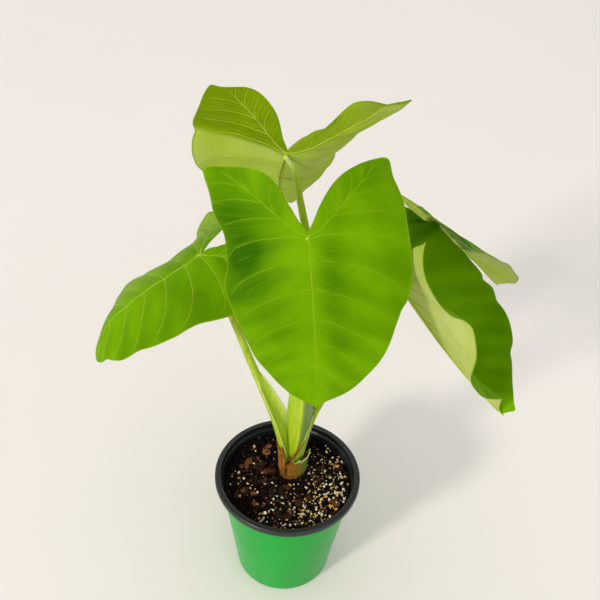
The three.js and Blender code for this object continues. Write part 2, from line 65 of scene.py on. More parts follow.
def catmull(points: Array, per: int, closed: bool = False) -> Array:
    """A smooth curve through points.

    Args:
        points: The way points, one a row.
        per: Steps from one way point to the next.
        closed: Whether the last point runs on into the first.

    Returns:
        The places along the curve, without a repeated end where it is closed.
    """
    points = np.asarray(points, float)
    if closed:
        padded = np.vstack([points[-1], points, points[:2]])
    else:
        padded = np.vstack([2 * points[0] - points[1], points, 2 * points[-1] - points[-2]])
    t = (np.arange(per) / per)[:, None]
    spans = [
        0.5 * (2 * b + (c - a) * t + (2 * a - 5 * b + 4 * c - d) * t * t
               + (3 * b - a - 3 * c + d) * t ** 3)
        for a, b, c, d in zip(padded, padded[1:], padded[2:], padded[3:])
    ]
    curve = np.vstack(spans)
    return curve if closed else np.vstack([curve, points[-1]])


def read_along(values: Sequence[float], share: Array | float) -> Array:
    """Values given at even steps, read at any share of the way."""
    return np.interp(share, np.linspace(0, 1, len(values)), values)


def smoothstep(x: Array | float, low: float = 0.0, high: float = 1.0) -> Array:
    """An eased step from 0 at low to 1 at high."""
    t = np.clip((x - low) / (high - low), 0, 1)
    return t * t * (3 - 2 * t)


def unit(vectors: Array) -> Array:
    """Vectors brought to length 1."""
    return vectors / np.maximum(np.linalg.norm(vectors, axis=-1, keepdims=True), 1e-12)


def swept_frames(curve: Array, side: Sequence[float] = (1, 0, 0)) -> tuple[Array, Array]:
    """Directions square to a curve, carried along it without a twist.

    Args:
        curve: Places along the curve.
        side: The direction that the first of the two starts from.

    Returns:
        Two unit directions at each place.
    """
    along = unit(np.gradient(curve, axis=0))
    across = np.empty_like(curve)
    last = np.array(side, float)
    for i, way in enumerate(along):
        last = unit(last - way * (last @ way))
        across[i] = last
    return across, np.cross(along, across)


def rolling(points: Array, scale: float, seed: float = 0.0) -> Array:
    """Smooth noise from about -1 to 1 at places given in millimetres."""
    return np.array([noise.noise(Vector(p / scale) + Vector((seed, seed, seed))) for p in points])


def grid_faces(rows: int, columns: int, wrap: bool = False) -> Array:
    """Quads of a grid of points.

    Args:
        rows: Number of rows of points.
        columns: Number of points in a row.
        wrap: Whether each row closes on itself.

    Returns:
        Four point numbers for each face.
    """
    r, c = np.meshgrid(np.arange(rows - 1), np.arange(columns if wrap else columns - 1), indexing="ij")
    n = (c + 1) % columns
    quads = [r * columns + c, r * columns + n, (r + 1) * columns + n, (r + 1) * columns + c]
    return np.stack(quads, -1).reshape(-1, 4)


# Meshes and pieces

def outward(points: Array, faces: list[Sequence[int]]) -> list[Sequence[int]]:
    """Faces of a closed shell, turned so that they point out of it.

    Args:
        points: The shell's points.
        faces: Point numbers of each face, all turned the same way.

    Returns:
        The faces.
    """
    volume = 0.0
    for face in faces:
        for b, c in zip(face[1:], face[2:]):
            volume += np.dot(points[face[0]], np.cross(points[b], points[c]))
    return [tuple(reversed(face)) for face in faces] if volume < 0 else faces


def mesh_of(name: str, points: Array, faces: Sequence[Sequence[int]],
            marks: dict[str, Array] | None = None, edges: Sequence = ()) -> Mesh:
    """A mesh in metres from places in millimetres.

    Args:
        name: The mesh's name.
        points: Places, one a row.
        faces: Point numbers of each face.
        marks: Values to keep at each point, by attribute name.
        edges: Pairs of point numbers, where there are no faces.

    Returns:
        The mesh.
    """
    mesh = bpy.data.meshes.new(name)
    mesh.from_pydata((np.asarray(points) * MM).tolist(), [tuple(e) for e in edges],
                     [tuple(int(i) for i in f) for f in faces])
    for mark, values in (marks or {}).items():
        values = np.asarray(values, np.float32)
        kind, key = ("FLOAT_VECTOR", "vector") if values.ndim == 2 else ("FLOAT", "value")
        mesh.attributes.new(mark, kind, "POINT").data.foreach_set(key, values.ravel())
    mesh.validate()
    mesh.update()
    return mesh


def place(name: str, mesh: Mesh, material: Material | None = None,
          crease: float = 50.0) -> Thing:
    """A mesh set into the scene as an object at the origin, shaded smooth.

    Args:
        name: The object's name.
        mesh: The mesh, in its final place.
        material: Its finish, or None to keep the mesh's own.
        crease: Edges sharper than this many degrees stay sharp.

    Returns:
        The object.
    """
    mesh.name = name
    thing = bpy.data.objects.new(name, mesh)
    bpy.context.scene.collection.objects.link(thing)
    if material:
        mesh.materials.clear()
        mesh.materials.append(material)
    mesh.shade_smooth()
    mesh.set_sharp_from_angle(angle=math.radians(crease))
    return thing


def settle(piece: Thing, slot: str, *nodes: str) -> Thing:
    """Ties a finished piece to the frame.

    Args:
        piece: The piece, in place.
        slot: Not used.
        nodes: The frame's nodes that it stands for.

    Returns:
        The piece.
    """
    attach(piece, BODY)
    if nodes:
        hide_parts(*nodes)
    faces = sum(len(p.vertices) - 2 for p in piece.data.polygons)
    LOG.info("%s: %d triangles, stands for %s", piece.name, faces, ", ".join(nodes) or "nothing")
    return piece


def full_turn(sides: int) -> Array:
    """Angles of evenly spaced points round a full turn."""
    return 2 * np.pi * np.arange(sides) / sides


def places_round(radius: Array | float, angle: Array, z: Array | float,
                 centre: Pair = (0.0, 0.0)) -> Array:
    """Places round an upright axis.

    Args:
        radius: How far each is from the axis.
        angle: The direction of each from the axis, in radians.
        z: The height of each.
        centre: Where the axis stands.

    Returns:
        The places, x, y and z last.
    """
    parts = (centre[0] + radius * np.cos(angle), centre[1] + radius * np.sin(angle), z)
    return np.stack(np.broadcast_arrays(*parts), -1)


def loft(rings: Array, marks: dict[str, Array] | None = None) -> Mesh:
    """A closed skin over rings of equally many points, each end closed by a fan.

    Args:
        rings: Places, by ring and by point.
        marks: Values to keep, by ring and by point.

    Returns:
        The mesh.
    """
    count, sides = rings.shape[:2]
    points = np.vstack([rings.reshape(-1, 3), rings[0].mean(0), rings[-1].mean(0)])
    faces = grid_faces(count, sides, wrap=True).tolist()
    last = (count - 1) * sides
    for i in range(sides):
        j = (i + 1) % sides
        faces += [(len(points) - 2, j, i), (len(points) - 1, last + i, last + j)]
    kept = {key: np.concatenate([v.ravel(), [v[0].mean(), v[-1].mean()]])
            for key, v in (marks or {}).items()}
    return mesh_of("loft", points, outward(points, faces), kept)


def plate(inner: Array, outer: Array, marks: dict[str, Array] | None = None) -> Mesh:
    """A thin sheet between two like grids of places, closed round its edge.

    Args:
        inner: Places of one face, by row and by column.
        outer: Places of the other face.
        marks: Values to keep at both faces, by row and by column.

    Returns:
        The mesh.
    """
    rows, columns = inner.shape[:2]
    far = rows * columns
    quads = grid_faces(rows, columns)
    at = np.arange(far).reshape(rows, columns)
    rim = np.concatenate([at[0, :-1], at[:-1, -1], at[-1, :0:-1], at[:0:-1, 0]])
    edge = [(b, a, far + a, far + b) for a, b in zip(rim, np.roll(rim, -1))]
    faces = quads.tolist() + (quads[:, ::-1] + far).tolist() + edge
    points = np.vstack([inner.reshape(-1, 3), outer.reshape(-1, 3)])
    kept = {key: np.tile(v.ravel(), 2) for key, v in (marks or {}).items()}
    return mesh_of("plate", points, outward(points, faces), kept)


def lathe(profile: Sequence[Pair], sides: int) -> Mesh:
    """A round body from a profile of radius and height that starts and ends on the axis."""
    profile = np.asarray(profile, float)[1:-1]
    return loft(places_round(profile[:, :1], full_turn(sides), profile[:, 1:]))


def rounded(profile: Sequence[Pair], radius: float, most: float = 0.45,
            steps: int = 4) -> list[Pair]:
    """A profile with its corners rounded off.

    Args:
        profile: Corners of radius and height.
        radius: How far from a corner the rounding starts, at most.
        most: Share of an edge that one rounding may take.
        steps: Points that take a corner's place, less one.

    Returns:
        The rounded profile.
    """
    points = [np.array(p, float) for p in profile]
    out = [points[0]]
    for before, corner, after in zip(points, points[1:], points[2:]):
        edges = (before - corner, after - corner)
        cut = min(radius, *(np.linalg.norm(edge) * most for edge in edges))
        start, end = (corner + edge / np.linalg.norm(edge) * cut for edge in edges)
        for t in np.linspace(0, 1, steps + 1):
            out.append((1 - t) ** 2 * start + 2 * t * (1 - t) * corner + t * t * end)
    return [tuple(p) for p in [*out, points[-1]]]


# Node trees

class Wiring:
    """Adds nodes to a tree, each with its settings and with values or links for its inputs."""

    def __init__(self, tree: bpy.types.NodeTree) -> None:
        """Wires the tree that is given."""
        self.tree = tree

    def add(self, kind: str, inputs: dict | None = None, **settings: object) -> bpy.types.Node:
        """Adds a node.

        Args:
            kind: The node's type.
            inputs: Values or sockets, by the input's name or number.
            settings: The node's own properties.

        Returns:
            The node.
        """
        node = self.tree.nodes.new(kind)
        for key, value in settings.items():
            setattr(node, key, value)
        for key, value in (inputs or {}).items():
            socket = node.inputs[key]
            if isinstance(value, Socket):
                self.tree.links.new(value, socket)
            else:
                socket.default_value = (*value, 1.0) if socket.type == "RGBA" else value
        return node


@dataclass(frozen=True)
class Pattern:
    """Noise over a surface, and the band of it that shows.

    The scale is in lumps a metre and the detail in octaves. The noise is stretched by factors on the
    three coordinates and pulled about by the distortion. Low becomes 0, high becomes 1, and strength
    is the most that it comes to.
    """

    scale: float
    detail: float = 3.0
    low: float = 0.0
    high: float = 1.0
    strength: float = 1.0
    stretch: Triple = (1, 1, 1)
    distortion: float = 0.0


class Paint(Wiring):
    """A shader tree with the few patterns that the plant's finishes are mixed from."""

    def __init__(self, name: str) -> None:
        """Starts a material with an empty tree."""
        self.material = bpy.data.materials.new(name)
        self.material.use_nodes = True
        super().__init__(self.material.node_tree)
        self.tree.nodes.clear()
        self.where = self.add("ShaderNodeTexCoord").outputs["Object"]

    def mark(self, name: str) -> Socket:
        """A value kept on the mesh."""
        return self.add("ShaderNodeAttribute", attribute_name=name).outputs["Fac"]

    def math(self, operation: str, *values: object, clamp: bool = False) -> Socket:
        """One sum on two or three values."""
        node = self.add("ShaderNodeMath", dict(enumerate(values)), operation=operation, use_clamp=clamp)
        return node.outputs[0]

    def part(self, value: Socket, share: float) -> Socket:
        """A share of a value."""
        return self.math("MULTIPLY", value, share)

    def grain(self, pattern: Pattern, where: Socket | None = None) -> Socket:
        """The noise of a pattern, all of it.

        Args:
            pattern: Its scale, detail, stretch and distortion.
            where: Coordinates to use instead of the object's.

        Returns:
            The noise, from 0 to 1.
        """
        spread = self.add("ShaderNodeMapping", {
            "Vector": where or self.where, "Scale": pattern.stretch})
        node = self.add("ShaderNodeTexNoise", {
            "Vector": spread.outputs[0], "Scale": pattern.scale, "Detail": pattern.detail,
            "Distortion": pattern.distortion})
        return node.outputs["Fac"]

    def band(self, value: Socket, low: float, high: float) -> Socket:
        """A value stretched so that low becomes 0 and high becomes 1."""
        node = self.add("ShaderNodeMapRange", {"Value": value, "From Min": low, "From Max": high})
        return node.outputs[0]

    def shown(self, pattern: Pattern, grain: Socket | None = None) -> Socket:
        """The band of a pattern that shows, from its own noise or the one that is given."""
        band = self.band(grain or self.grain(pattern), pattern.low, pattern.high)
        return self.part(band, pattern.strength)

    def spread(self, pattern: Pattern, ends: Pair) -> Socket:
        """The noise of a pattern, from one end to the other."""
        node = self.add("ShaderNodeMapRange", {
            "Value": self.grain(pattern), "To Min": ends[0], "To Max": ends[1]})
        return node.outputs[0]

    def mix(self, share: object, a: object, b: object, blend: str = "MIX") -> Socket:
        """A mix of two colours, share being how much there is of the second one."""
        node = self.add("ShaderNodeMix", {0: share, 6: a, 7: b}, data_type="RGBA", blend_type=blend)
        return node.outputs[2]

    def layers(self, base: object, *coats: tuple[Socket, object]) -> Socket:
        """A colour with others laid over it.

        Args:
            base: The lowest colour.
            coats: How much of each other one there is, and the colour, from the lowest up.

        Returns:
            The mixed colour.
        """
        for share, colour in coats:
            base = self.mix(share, base, colour)
        return base

    def ramp(self, value: Socket, *stops: tuple[float, Colour]) -> Socket:
        """Colours along a value.

        Args:
            value: The value, from 0 to 1.
            stops: Places along it with the colour at each.

        Returns:
            The colour.
        """
        node = self.add("ShaderNodeValToRGB", {0: value})
        elements = node.color_ramp.elements
        while len(elements) < len(stops):
            elements.new(0.5)
        for element, (spot, colour) in zip(elements, stops):
            element.position = spot
            element.color = (*colour, 1.0)
        return node.outputs["Color"]

    def bump(self, height: Socket, distance: float, strength: float = 1.0) -> Socket:
        """Fine relief, its height given in millimetres."""
        node = self.add("ShaderNodeBump", {
            "Height": height, "Distance": distance * MM, "Strength": strength})
        return node.outputs["Normal"]

    def surface(self, through: float = 0.0, glow: object = None, **inputs: object) -> Material:
        """Ends the tree in a plain surface, with light coming through it where it is thin.

        Args:
            through: Share of the light that goes through.
            glow: Colour of that light.
            inputs: The shader's inputs, with _ for a space in their names.

        Returns:
            The material.
        """
        plain = {key.replace("_", " "): value for key, value in inputs.items()}
        shader = self.add("ShaderNodeBsdfPrincipled", plain)
        out = shader.outputs[0]
        if through:
            lit = self.add("ShaderNodeBsdfTranslucent", {"Color": glow})
            out = self.add("ShaderNodeMixShader", {0: through, 1: out, 2: lit.outputs[0]}).outputs[0]
        self.add("ShaderNodeOutputMaterial", {"Surface": out})
        return self.material


PAINTED: dict[str, Material] = {}


@dataclass(frozen=True)
class Finish:
    """A finish of the plant or the pot. Each kind paints its own material."""

    name: str

    def paint(self, paint: Paint) -> Material:
        """Ends the tree of a new material."""
        raise NotImplementedError

    def material(self) -> Material:
        """The finish as a material, painted once."""
        if self.name not in PAINTED:
            PAINTED[self.name] = self.paint(Paint(self.name))
        return PAINTED[self.name]


@dataclass(frozen=True)
class LeafFinish(Finish):
    """A leaf blade: bright above, paler and duller below, with a thin pale margin."""

    upper: Colour = (0.20, 0.445, 0.0003)
    deep: Colour = (0.036, 0.15, 0.0002)
    under: Colour = (0.64, 0.73, 0.23)
    under_bright: Colour = (0.52, 0.65, 0.06)
    # Colours of painted light and shade: light shining through the underside, a strip of painted shade
    # under it, and a painted pale sheen on the upper face.
    under_lit: Colour = (0.34, 0.50, 0.003)
    dim: Colour = (0.105, 0.26, 0.085)
    pale: Colour = (0.36, 0.52, 0.08)
    vein: Colour = (0.27, 0.47, 0.004)
    edge: Colour = (0.25, 0.44, 0.008)
    glow: Colour = (0.32, 0.52, 0.001)
    through: float = 0.28
    rough: Pair = (0.42, 0.6)
    cloud: Pattern = Pattern(16.0, 3.0, 0.38, 0.66, 0.4)
    thread: Pattern = Pattern(0.55, 2.0, 0.5, 0.75, 0.2)
    blotch: Pattern = Pattern(11.0, 2.0, 0.42, 0.62)
    mottle: Pattern = Pattern(60.0)
    pores: Pattern = Pattern(700.0, 2.0, strength=0.4)
    along_thread: float = 4.0
    # How much of the painted pale sheen shows at most.
    pale_most: float = 0.6
    vein_most: float = 0.3

    def paint(self, paint: Paint) -> Material:
        """Paints both faces from the marks on the blade."""
        fine = paint.add("ShaderNodeCombineXYZ", {
            "X": paint.mark("fine"), "Y": paint.part(paint.mark("reach"), self.along_thread)})
        thread, shade = paint.grain(self.thread, fine.outputs[0]), paint.mark("shade")
        threads = paint.shown(self.thread, thread)
        # The upper face: random cloud and painted shade darken it, and a painted pale sheen lightens it.
        upper = paint.layers(
            self.upper, (paint.shown(self.cloud), self.deep), (shade, self.deep),
            (paint.part(paint.mark("pale"), self.pale_most), self.pale), (threads, self.vein))
        # The underside: painted light where it shines through the lobes, and a strip of painted shade.
        under = paint.layers(
            self.under, (paint.shown(self.blotch), self.under_bright),
            (paint.mark("lit"), self.under_lit), (paint.mark("dim"), self.dim),
            (threads, self.under_bright))
        colour = paint.layers(
            upper, (paint.mark("under"), under),
            (paint.part(paint.mark("near_vein"), self.vein_most), self.vein),
            (paint.mark("edge"), self.edge))
        relief = paint.math("ADD", thread, paint.part(paint.grain(self.pores), self.pores.strength))
        # The light that comes through is painted darker where the shade mark paints shade.
        return paint.surface(
            self.through, paint.mix(shade, self.glow, self.deep), Base_Color=colour,
            Roughness=paint.spread(self.mottle, self.rough), Specular_IOR_Level=0.02,
            Normal=paint.bump(relief, distance=0.3, strength=0.6))


@dataclass(frozen=True)
class VeinFinish(Finish):
    """The ribs that stand out of a blade, pale and a little translucent."""

    colour: Colour = (0.28, 0.46, 0.012)
    pale: Colour = (0.42, 0.57, 0.06)
    through: float = 0.2
    streak: Pattern = Pattern(90.0, 3.0, 0.35, 0.65)
    pores: Pattern = Pattern(900.0, 2.0)

    def paint(self, paint: Paint) -> Material:
        """Paints the ribs with soft streaks."""
        tone = paint.mix(paint.shown(self.streak), self.colour, self.pale)
        return paint.surface(
            self.through, self.colour, Base_Color=tone, Roughness=0.5, Specular_IOR_Level=0.15,
            Normal=paint.bump(paint.grain(self.pores), distance=0.1, strength=0.4))


@dataclass(frozen=True)
class StemFinish(Finish):
    """Petioles and leaf bases: lime green with pale streaks along them, some with a blue green that is
    partly their waxy coat and partly painted shade.
    """

    bright: Colour = (0.52, 0.68, 0.015)
    deep: Colour = (0.30, 0.50, 0.012)
    # The pale colour is for streaks and edges, and also painted light at the top petiole's end; the blue
    # green below is the waxy coat and also painted shade on shaded sides.
    pale: Colour = (0.66, 0.76, 0.26)
    bloom_and_shade: Colour = (0.10, 0.20, 0.055)
    brown: Colour = (0.30, 0.14, 0.012)
    through: float = 0.14
    streak: Pattern = Pattern(520.0, 3.0, 0.3, 0.7, stretch=(1, 1, 0.035))
    broad: Pattern = Pattern(70.0, 2.0, 0.6, 0.95, stretch=(1, 1, 0.12))
    wear: Pattern = Pattern(420.0, 4.0, 0.02, 0.3, 0.7, (1, 1, 0.2))

    def paint(self, paint: Paint) -> Material:
        """Paints streaks that run up the stem, a pale edge that is also painted light at the top
        petiole's end, the blue green of waxy coat and painted shade, and the brown foot.
        """
        streak, wear = paint.grain(self.streak), self.wear
        worn = paint.math(
            "SUBTRACT", paint.mark("dry"), paint.part(paint.grain(wear), wear.strength), clamp=True)
        colour = paint.layers(
            self.deep, (paint.shown(self.streak, streak), self.bright),
            (paint.shown(self.broad), self.pale), (paint.mark("bloom_and_shade"), self.bloom_and_shade),
            (paint.mark("edge"), self.pale), (paint.band(worn, wear.low, wear.high), self.brown))
        return paint.surface(
            self.through, colour, Base_Color=colour, Roughness=0.42, Specular_IOR_Level=0.4,
            Coat_Weight=0.08, Coat_Roughness=0.3,
            Normal=paint.bump(streak, distance=0.25, strength=0.6))


@dataclass(frozen=True)
class HuskFinish(Finish):
    """Dry, papery and fibrous tissue, from straw to dark brown."""

    straw: Colour = (0.50, 0.27, 0.035)
    orange: Colour = (0.36, 0.15, 0.012)
    dark: Colour = (0.085, 0.034, 0.008)
    grain_up: float = 0.06
    fibre: Pattern = Pattern(650.0, 4.0, distortion=0.4)
    stops: Triple = (0.3, 0.5, 0.72)
    streak: Pattern = Pattern(260.0, 3.0, 0.52, 0.68, 0.8, (1, 1, 0.16), 0.6)
    blotch: Pattern = Pattern(110.0, 3.0, 0.5, 0.72)

    def paint(self, paint: Paint) -> Material:
        """Paints fibres that run up the piece over blotches of brown."""
        fibre = paint.grain(replace(self.fibre, stretch=(1, 1, self.grain_up)))
        base = paint.ramp(fibre, *zip(self.stops, (self.dark, self.orange, self.straw)))
        colour = paint.layers(
            base, (paint.shown(self.streak), self.dark), (paint.shown(self.blotch), self.dark))
        return paint.surface(
            0.1, self.orange, Base_Color=colour, Roughness=0.78, Specular_IOR_Level=0.25,
            Normal=paint.bump(fibre, distance=0.5, strength=0.9))


@dataclass(frozen=True)
class PotFinish(Finish):
    """Thin moulded plastic with faint flow marks, scuffs and a little dust."""

    colour: Colour = (0.004, 0.36, 0.036)
    shade: Colour = (0.003, 0.32, 0.033)
    scuff: Colour = (0.10, 0.45, 0.15)
    dust: float = 0.12
    rough: Pair = (0.22, 0.4)
    gloss: float = 0.2
    flow: Pattern = Pattern(26.0, 3.0, 0.35, 0.65, stretch=(1, 1, 0.35))
    hair: Pattern = Pattern(320.0, 2.0, 0.66, 0.8, stretch=(1, 1, 9), distortion=0.3)
    film: Pattern = Pattern(75.0, 5.0, 0.55, 0.8)
    mottle: Pattern = Pattern(48.0, 4.0)
    pores: Pattern = Pattern(1500.0, 2.0, strength=0.12)

    def paint(self, paint: Paint) -> Material:
        """Paints mottling, hairline scuffs, and the dust that dulls the plastic."""
        flow = paint.grain(self.flow)
        marks = [paint.part(paint.shown(pattern), self.dust) for pattern in (self.hair, self.film)]
        colour = paint.layers(
            self.colour, (paint.shown(self.flow, flow), self.shade),
            *((mark, self.scuff) for mark in marks))
        relief = paint.math("ADD", flow, paint.part(paint.grain(self.pores), self.pores.strength))
        return paint.surface(
            Base_Color=colour, Roughness=paint.spread(self.mottle, self.rough),
            Specular_IOR_Level=self.gloss, Normal=paint.bump(relief, distance=0.35, strength=0.35))


@dataclass(frozen=True)
class EarthFinish(Finish):
    """Damp compost: nearly black, with brown crumbs in it."""

    dark: Colour = (0.0013, 0.0008, 0.0006)
    brown: Colour = (0.009, 0.0042, 0.0022)
    fibre: Colour = (0.04, 0.018, 0.008)
    coarse: Pattern = Pattern(260.0, 5.0, 0.42, 0.68)
    fine: Pattern = Pattern(1100.0, 3.0, 0.6, 0.75)
    fine_relief: float = 0.4

    def paint(self, paint: Paint) -> Material:
        """Paints two sizes of crumb with deep relief."""
        coarse, fine = paint.grain(self.coarse), paint.grain(self.fine)
        colour = paint.layers(
            self.dark, (paint.shown(self.coarse, coarse), self.brown),
            (paint.shown(self.fine, fine), self.fibre))
        relief = paint.math("ADD", coarse, paint.part(fine, self.fine_relief))
        return paint.surface(Base_Color=colour, Roughness=0.9, Specular_IOR_Level=0.06,
                             Normal=paint.bump(relief, distance=2.2))


@dataclass(frozen=True)
class LumpFinish(Finish):
    """Loose lumps in the mix: each takes its colour from its own tint."""

    stops: tuple[tuple[float, Colour], ...]
    rough: float = 0.85
    mottle: float = 0.45
    relief: float = 0.6
    stain: Colour = (0.30, 0.24, 0.20)
    spots: Pattern = Pattern(750.0, 4.0, 0.4, 0.7)
    pits: Pattern = Pattern(1300.0, 3.0)

    def paint(self, paint: Paint) -> Material:
        """Paints the lumps by tint, mottled and pitted."""
        base = paint.ramp(paint.mark("tint"), *self.stops)
        stained = paint.mix(1.0, base, self.stain, "MULTIPLY")
        colour = paint.mix(paint.part(paint.shown(self.spots), self.mottle), base, stained)
        return paint.surface(Base_Color=colour, Roughness=self.rough, Specular_IOR_Level=0.1,
                             Normal=paint.bump(paint.grain(self.pits), self.relief, strength=0.8))


@dataclass(frozen=True)
class FloorFinish(Finish):
    """The plain, pale floor."""

    colour: Colour = (0.85, 0.815, 0.78)
    other: Colour = (0.83, 0.80, 0.77)
    cloud: Pattern = Pattern(2.2, 2.0, 0.3, 0.7)

    def paint(self, paint: Paint) -> Material:
        """Paints a matt floor that is hardly uneven."""
        tone = paint.mix(paint.shown(self.cloud), self.colour, self.other)
        return paint.surface(Base_Color=tone, Roughness=0.75, Specular_IOR_Level=0.2)


# Geometry Nodes

class Growth:
    """A Geometry Nodes tree with named inputs, made into a plain mesh when it is used."""

    def __init__(self, name: str, **sizes: str) -> None:
        """Starts a tree.

        Args:
            name: The tree's name.
            sizes: Kind of each named input, besides the geometry and the material.
        """
        self.group = bpy.data.node_groups.new(name, "GeometryNodeTree")
        face = self.group.interface
        for size, kind in {"Geometry": "Geometry", **sizes, "Material": "Material"}.items():
            face.new_socket(size, in_out="INPUT", socket_type=f"NodeSocket{kind}")
        face.new_socket("Geometry", in_out="OUTPUT", socket_type="NodeSocketGeometry")
        self.wire = Wiring(self.group)
        self.given = self.wire.add("NodeGroupInput").outputs

    def mark(self, name: str, kind: str = "FLOAT") -> Socket:
        """A value kept on the source mesh."""
        node = self.wire.add("GeometryNodeInputNamedAttribute", {"Name": name}, data_type=kind)
        return node.outputs[0]

    def close(self, geometry: Socket) -> None:
        """Ends the tree in plain faces with the piece's finish."""
        real = self.wire.add("GeometryNodeRealizeInstances", {"Geometry": geometry})
        dressed = self.wire.add("GeometryNodeSetMaterial", {
            "Geometry": real.outputs[0], "Material": self.given["Material"]})
        self.wire.add("NodeGroupOutput", {"Geometry": dressed.outputs[0]})

    def grow(self, name: str, source: Mesh, finish: Finish, **sizes: object) -> Thing:
        """Runs the tree on a source mesh.

        Args:
            name: Name of the finished piece.
            source: The mesh that the tree starts from.
            finish: The piece's finish.
            sizes: Values of the named inputs.

        Returns:
            An object at the origin with a plain mesh and no modifier.
        """
        thing = bpy.data.objects.new(name, source)
        bpy.context.scene.collection.objects.link(thing)
        modifier = thing.modifiers.new(self.group.name, "NODES")
        modifier.node_group = self.group
        sizes["Material"] = finish.material()
        for item in self.group.interface.items_tree:
            if item.in_out == "INPUT" and item.name in sizes:
                modifier[item.identifier] = sizes[item.name]
        seen = thing.evaluated_get(bpy.context.evaluated_depsgraph_get())
        mesh = bpy.data.meshes.new_from_object(seen)
        mesh.name = name
        thing.modifiers.clear()
        thing.data = mesh
        return thing


Strand = tuple[Array, Array]


class Strands(Growth):
    """Round strands along the edges of a skeleton, as thick as its points say."""

    def __init__(self) -> None:
        """Wires the tree: edges to curves, each with a round section."""
        super().__init__("Strands", Sides="Int")
        add = self.wire.add
        curve = add("GeometryNodeMeshToCurve", {"Mesh": self.given["Geometry"]})
        ring = add("GeometryNodeCurvePrimitiveCircle", {
            "Resolution": self.given["Sides"], "Radius": 1.0})
        skin = add("GeometryNodeCurveToMesh", {
            "Curve": curve.outputs[0], "Profile Curve": ring.outputs[0],
            "Scale": self.mark("strand_radius"), "Fill Caps": True})
        soft = add("GeometryNodeSetShadeSmooth", {"Geometry": skin.outputs[0]})
        self.close(soft.outputs[0])

    def make(self, name: str, strands: list[Strand], finish: Finish, sides: int,
             marks: dict[str, Array] | None = None) -> Thing:
        """Makes strands of given thickness.

        Args:
            name: Name of the piece.
            strands: Places along each strand and the radius at each place.
            finish: Its finish.
            sides: Faces round a strand.
            marks: Values to keep along the strands, by attribute name.

        Returns:
            The piece.
        """
        points, radii = (np.concatenate(column) for column in zip(*strands))
        edges = []
        start = 0
        for way, _ in strands:
            edges += [(start + i, start + i + 1) for i in range(len(way) - 1)]
            start += len(way)
        kept = {"strand_radius": radii * MM, **(marks or {})}
        source = mesh_of(name + "_skeleton", points, [], kept, edges)
        return self.grow(name, source, finish, Sides=sides)


@dataclass
class Spots:
    """Places for small copies, with the size, turn and tint of each."""

    places: Array
    sizes: Array
    turns: Array
    tints: Array

    def where(self, keep: Array) -> "Spots":
        """The spots that are kept."""
        return Spots(self.places[keep], self.sizes[keep], self.turns[keep], self.tints[keep])


class Scatter(Growth):
    """Copies of a small shape at given places, each with its own size, turn and tint."""

    def __init__(self) -> None:
        """Wires the tree: a copy at each point, its surface roughened."""
        super().__init__("Scatter", Shape="Object", Lumps="Float", Height="Float", Seed="Float")
        add, given = self.wire.add, self.given
        points = add("GeometryNodeMeshToPoints", {"Mesh": given["Geometry"]})
        shape = add("GeometryNodeObjectInfo", {"Object": given["Shape"]})
        turn = add("FunctionNodeEulerToRotation", {0: self.mark("turn", "FLOAT_VECTOR")})
        copies = add("GeometryNodeInstanceOnPoints", {
            "Points": points.outputs[0], "Instance": shape.outputs["Geometry"],
            "Rotation": turn.outputs[0], "Scale": self.mark("size", "FLOAT_VECTOR")})
        real = add("GeometryNodeRealizeInstances", {"Geometry": copies.outputs[0]})
        spot = add("GeometryNodeInputPosition")
        lumps = add("ShaderNodeTexNoise", {
            "Vector": spot.outputs[0], "W": given["Seed"], "Scale": given["Lumps"], "Detail": 1.0},
            noise_dimensions="4D")
        about = add("ShaderNodeVectorMath", {
            0: lumps.outputs["Color"], 1: (0.5, 0.5, 0.5)}, operation="SUBTRACT")
        push = add("ShaderNodeVectorMath", {0: about.outputs[0], "Scale": given["Height"]},
                   operation="SCALE")
        rough = add("GeometryNodeSetPosition", {
            "Geometry": real.outputs[0], "Offset": push.outputs[0]})
        self.close(rough.outputs[0])

    def make(self, name: str, spots: Spots, shape: Thing, finish: Finish,
             lumps: float, height: float, seed: float) -> Thing:
        """Makes the copies.

        Args:
            name: Name of the piece.
            spots: Where the copies go.
            shape: The shape that is copied, about 1 mm in radius.
            finish: Its finish.
            lumps: Lumps in a metre that roughen the copies.
            height: How high those lumps are, in millimetres.
            seed: Picks one set of lumps.

        Returns:
            The piece.
        """
        marks = {"size": spots.sizes, "turn": spots.turns, "tint": spots.tints}
        source = mesh_of(name + "_spots", spots.places, [], marks)
        return self.grow(name, source, finish, Shape=shape, Lumps=lumps, Height=height * MM, Seed=seed)


# The leaves

class Side(Enum):
    """The two halves of a blade, seen from above with the tip ahead."""

    RIGHT = 1
    LEFT = -1


@dataclass(frozen=True)
class HalfForm:
    """One half of a blade: its width, its lobe, and how it folds, curls and waves.

    The fold and the curl are degrees, given as the terms of a sum of powers of v.
    """

    width: float
    lobe: float
    spread: float
    fold: tuple[float, ...]
    curl: tuple[float, ...]
    wave: Triple
    ruffle: Triple = (0.5, 5.0, 0.0)
    crease: float = 1.0


@dataclass(frozen=True)
class LeafForm:
    """A leaf: blade length, the place where the petiole meets it, and how it is turned and bent."""

    length: float
    seat: Triple
    heading: float
    pitch: float
    roll: float
    droop: Pair
    bow: float
    twist: float
    lobe_bend: float
    right: HalfForm
    left: HalfForm

    def half(self, side: Side) -> HalfForm:
        """The half on one side."""
        return self.right if side is Side.RIGHT else self.left


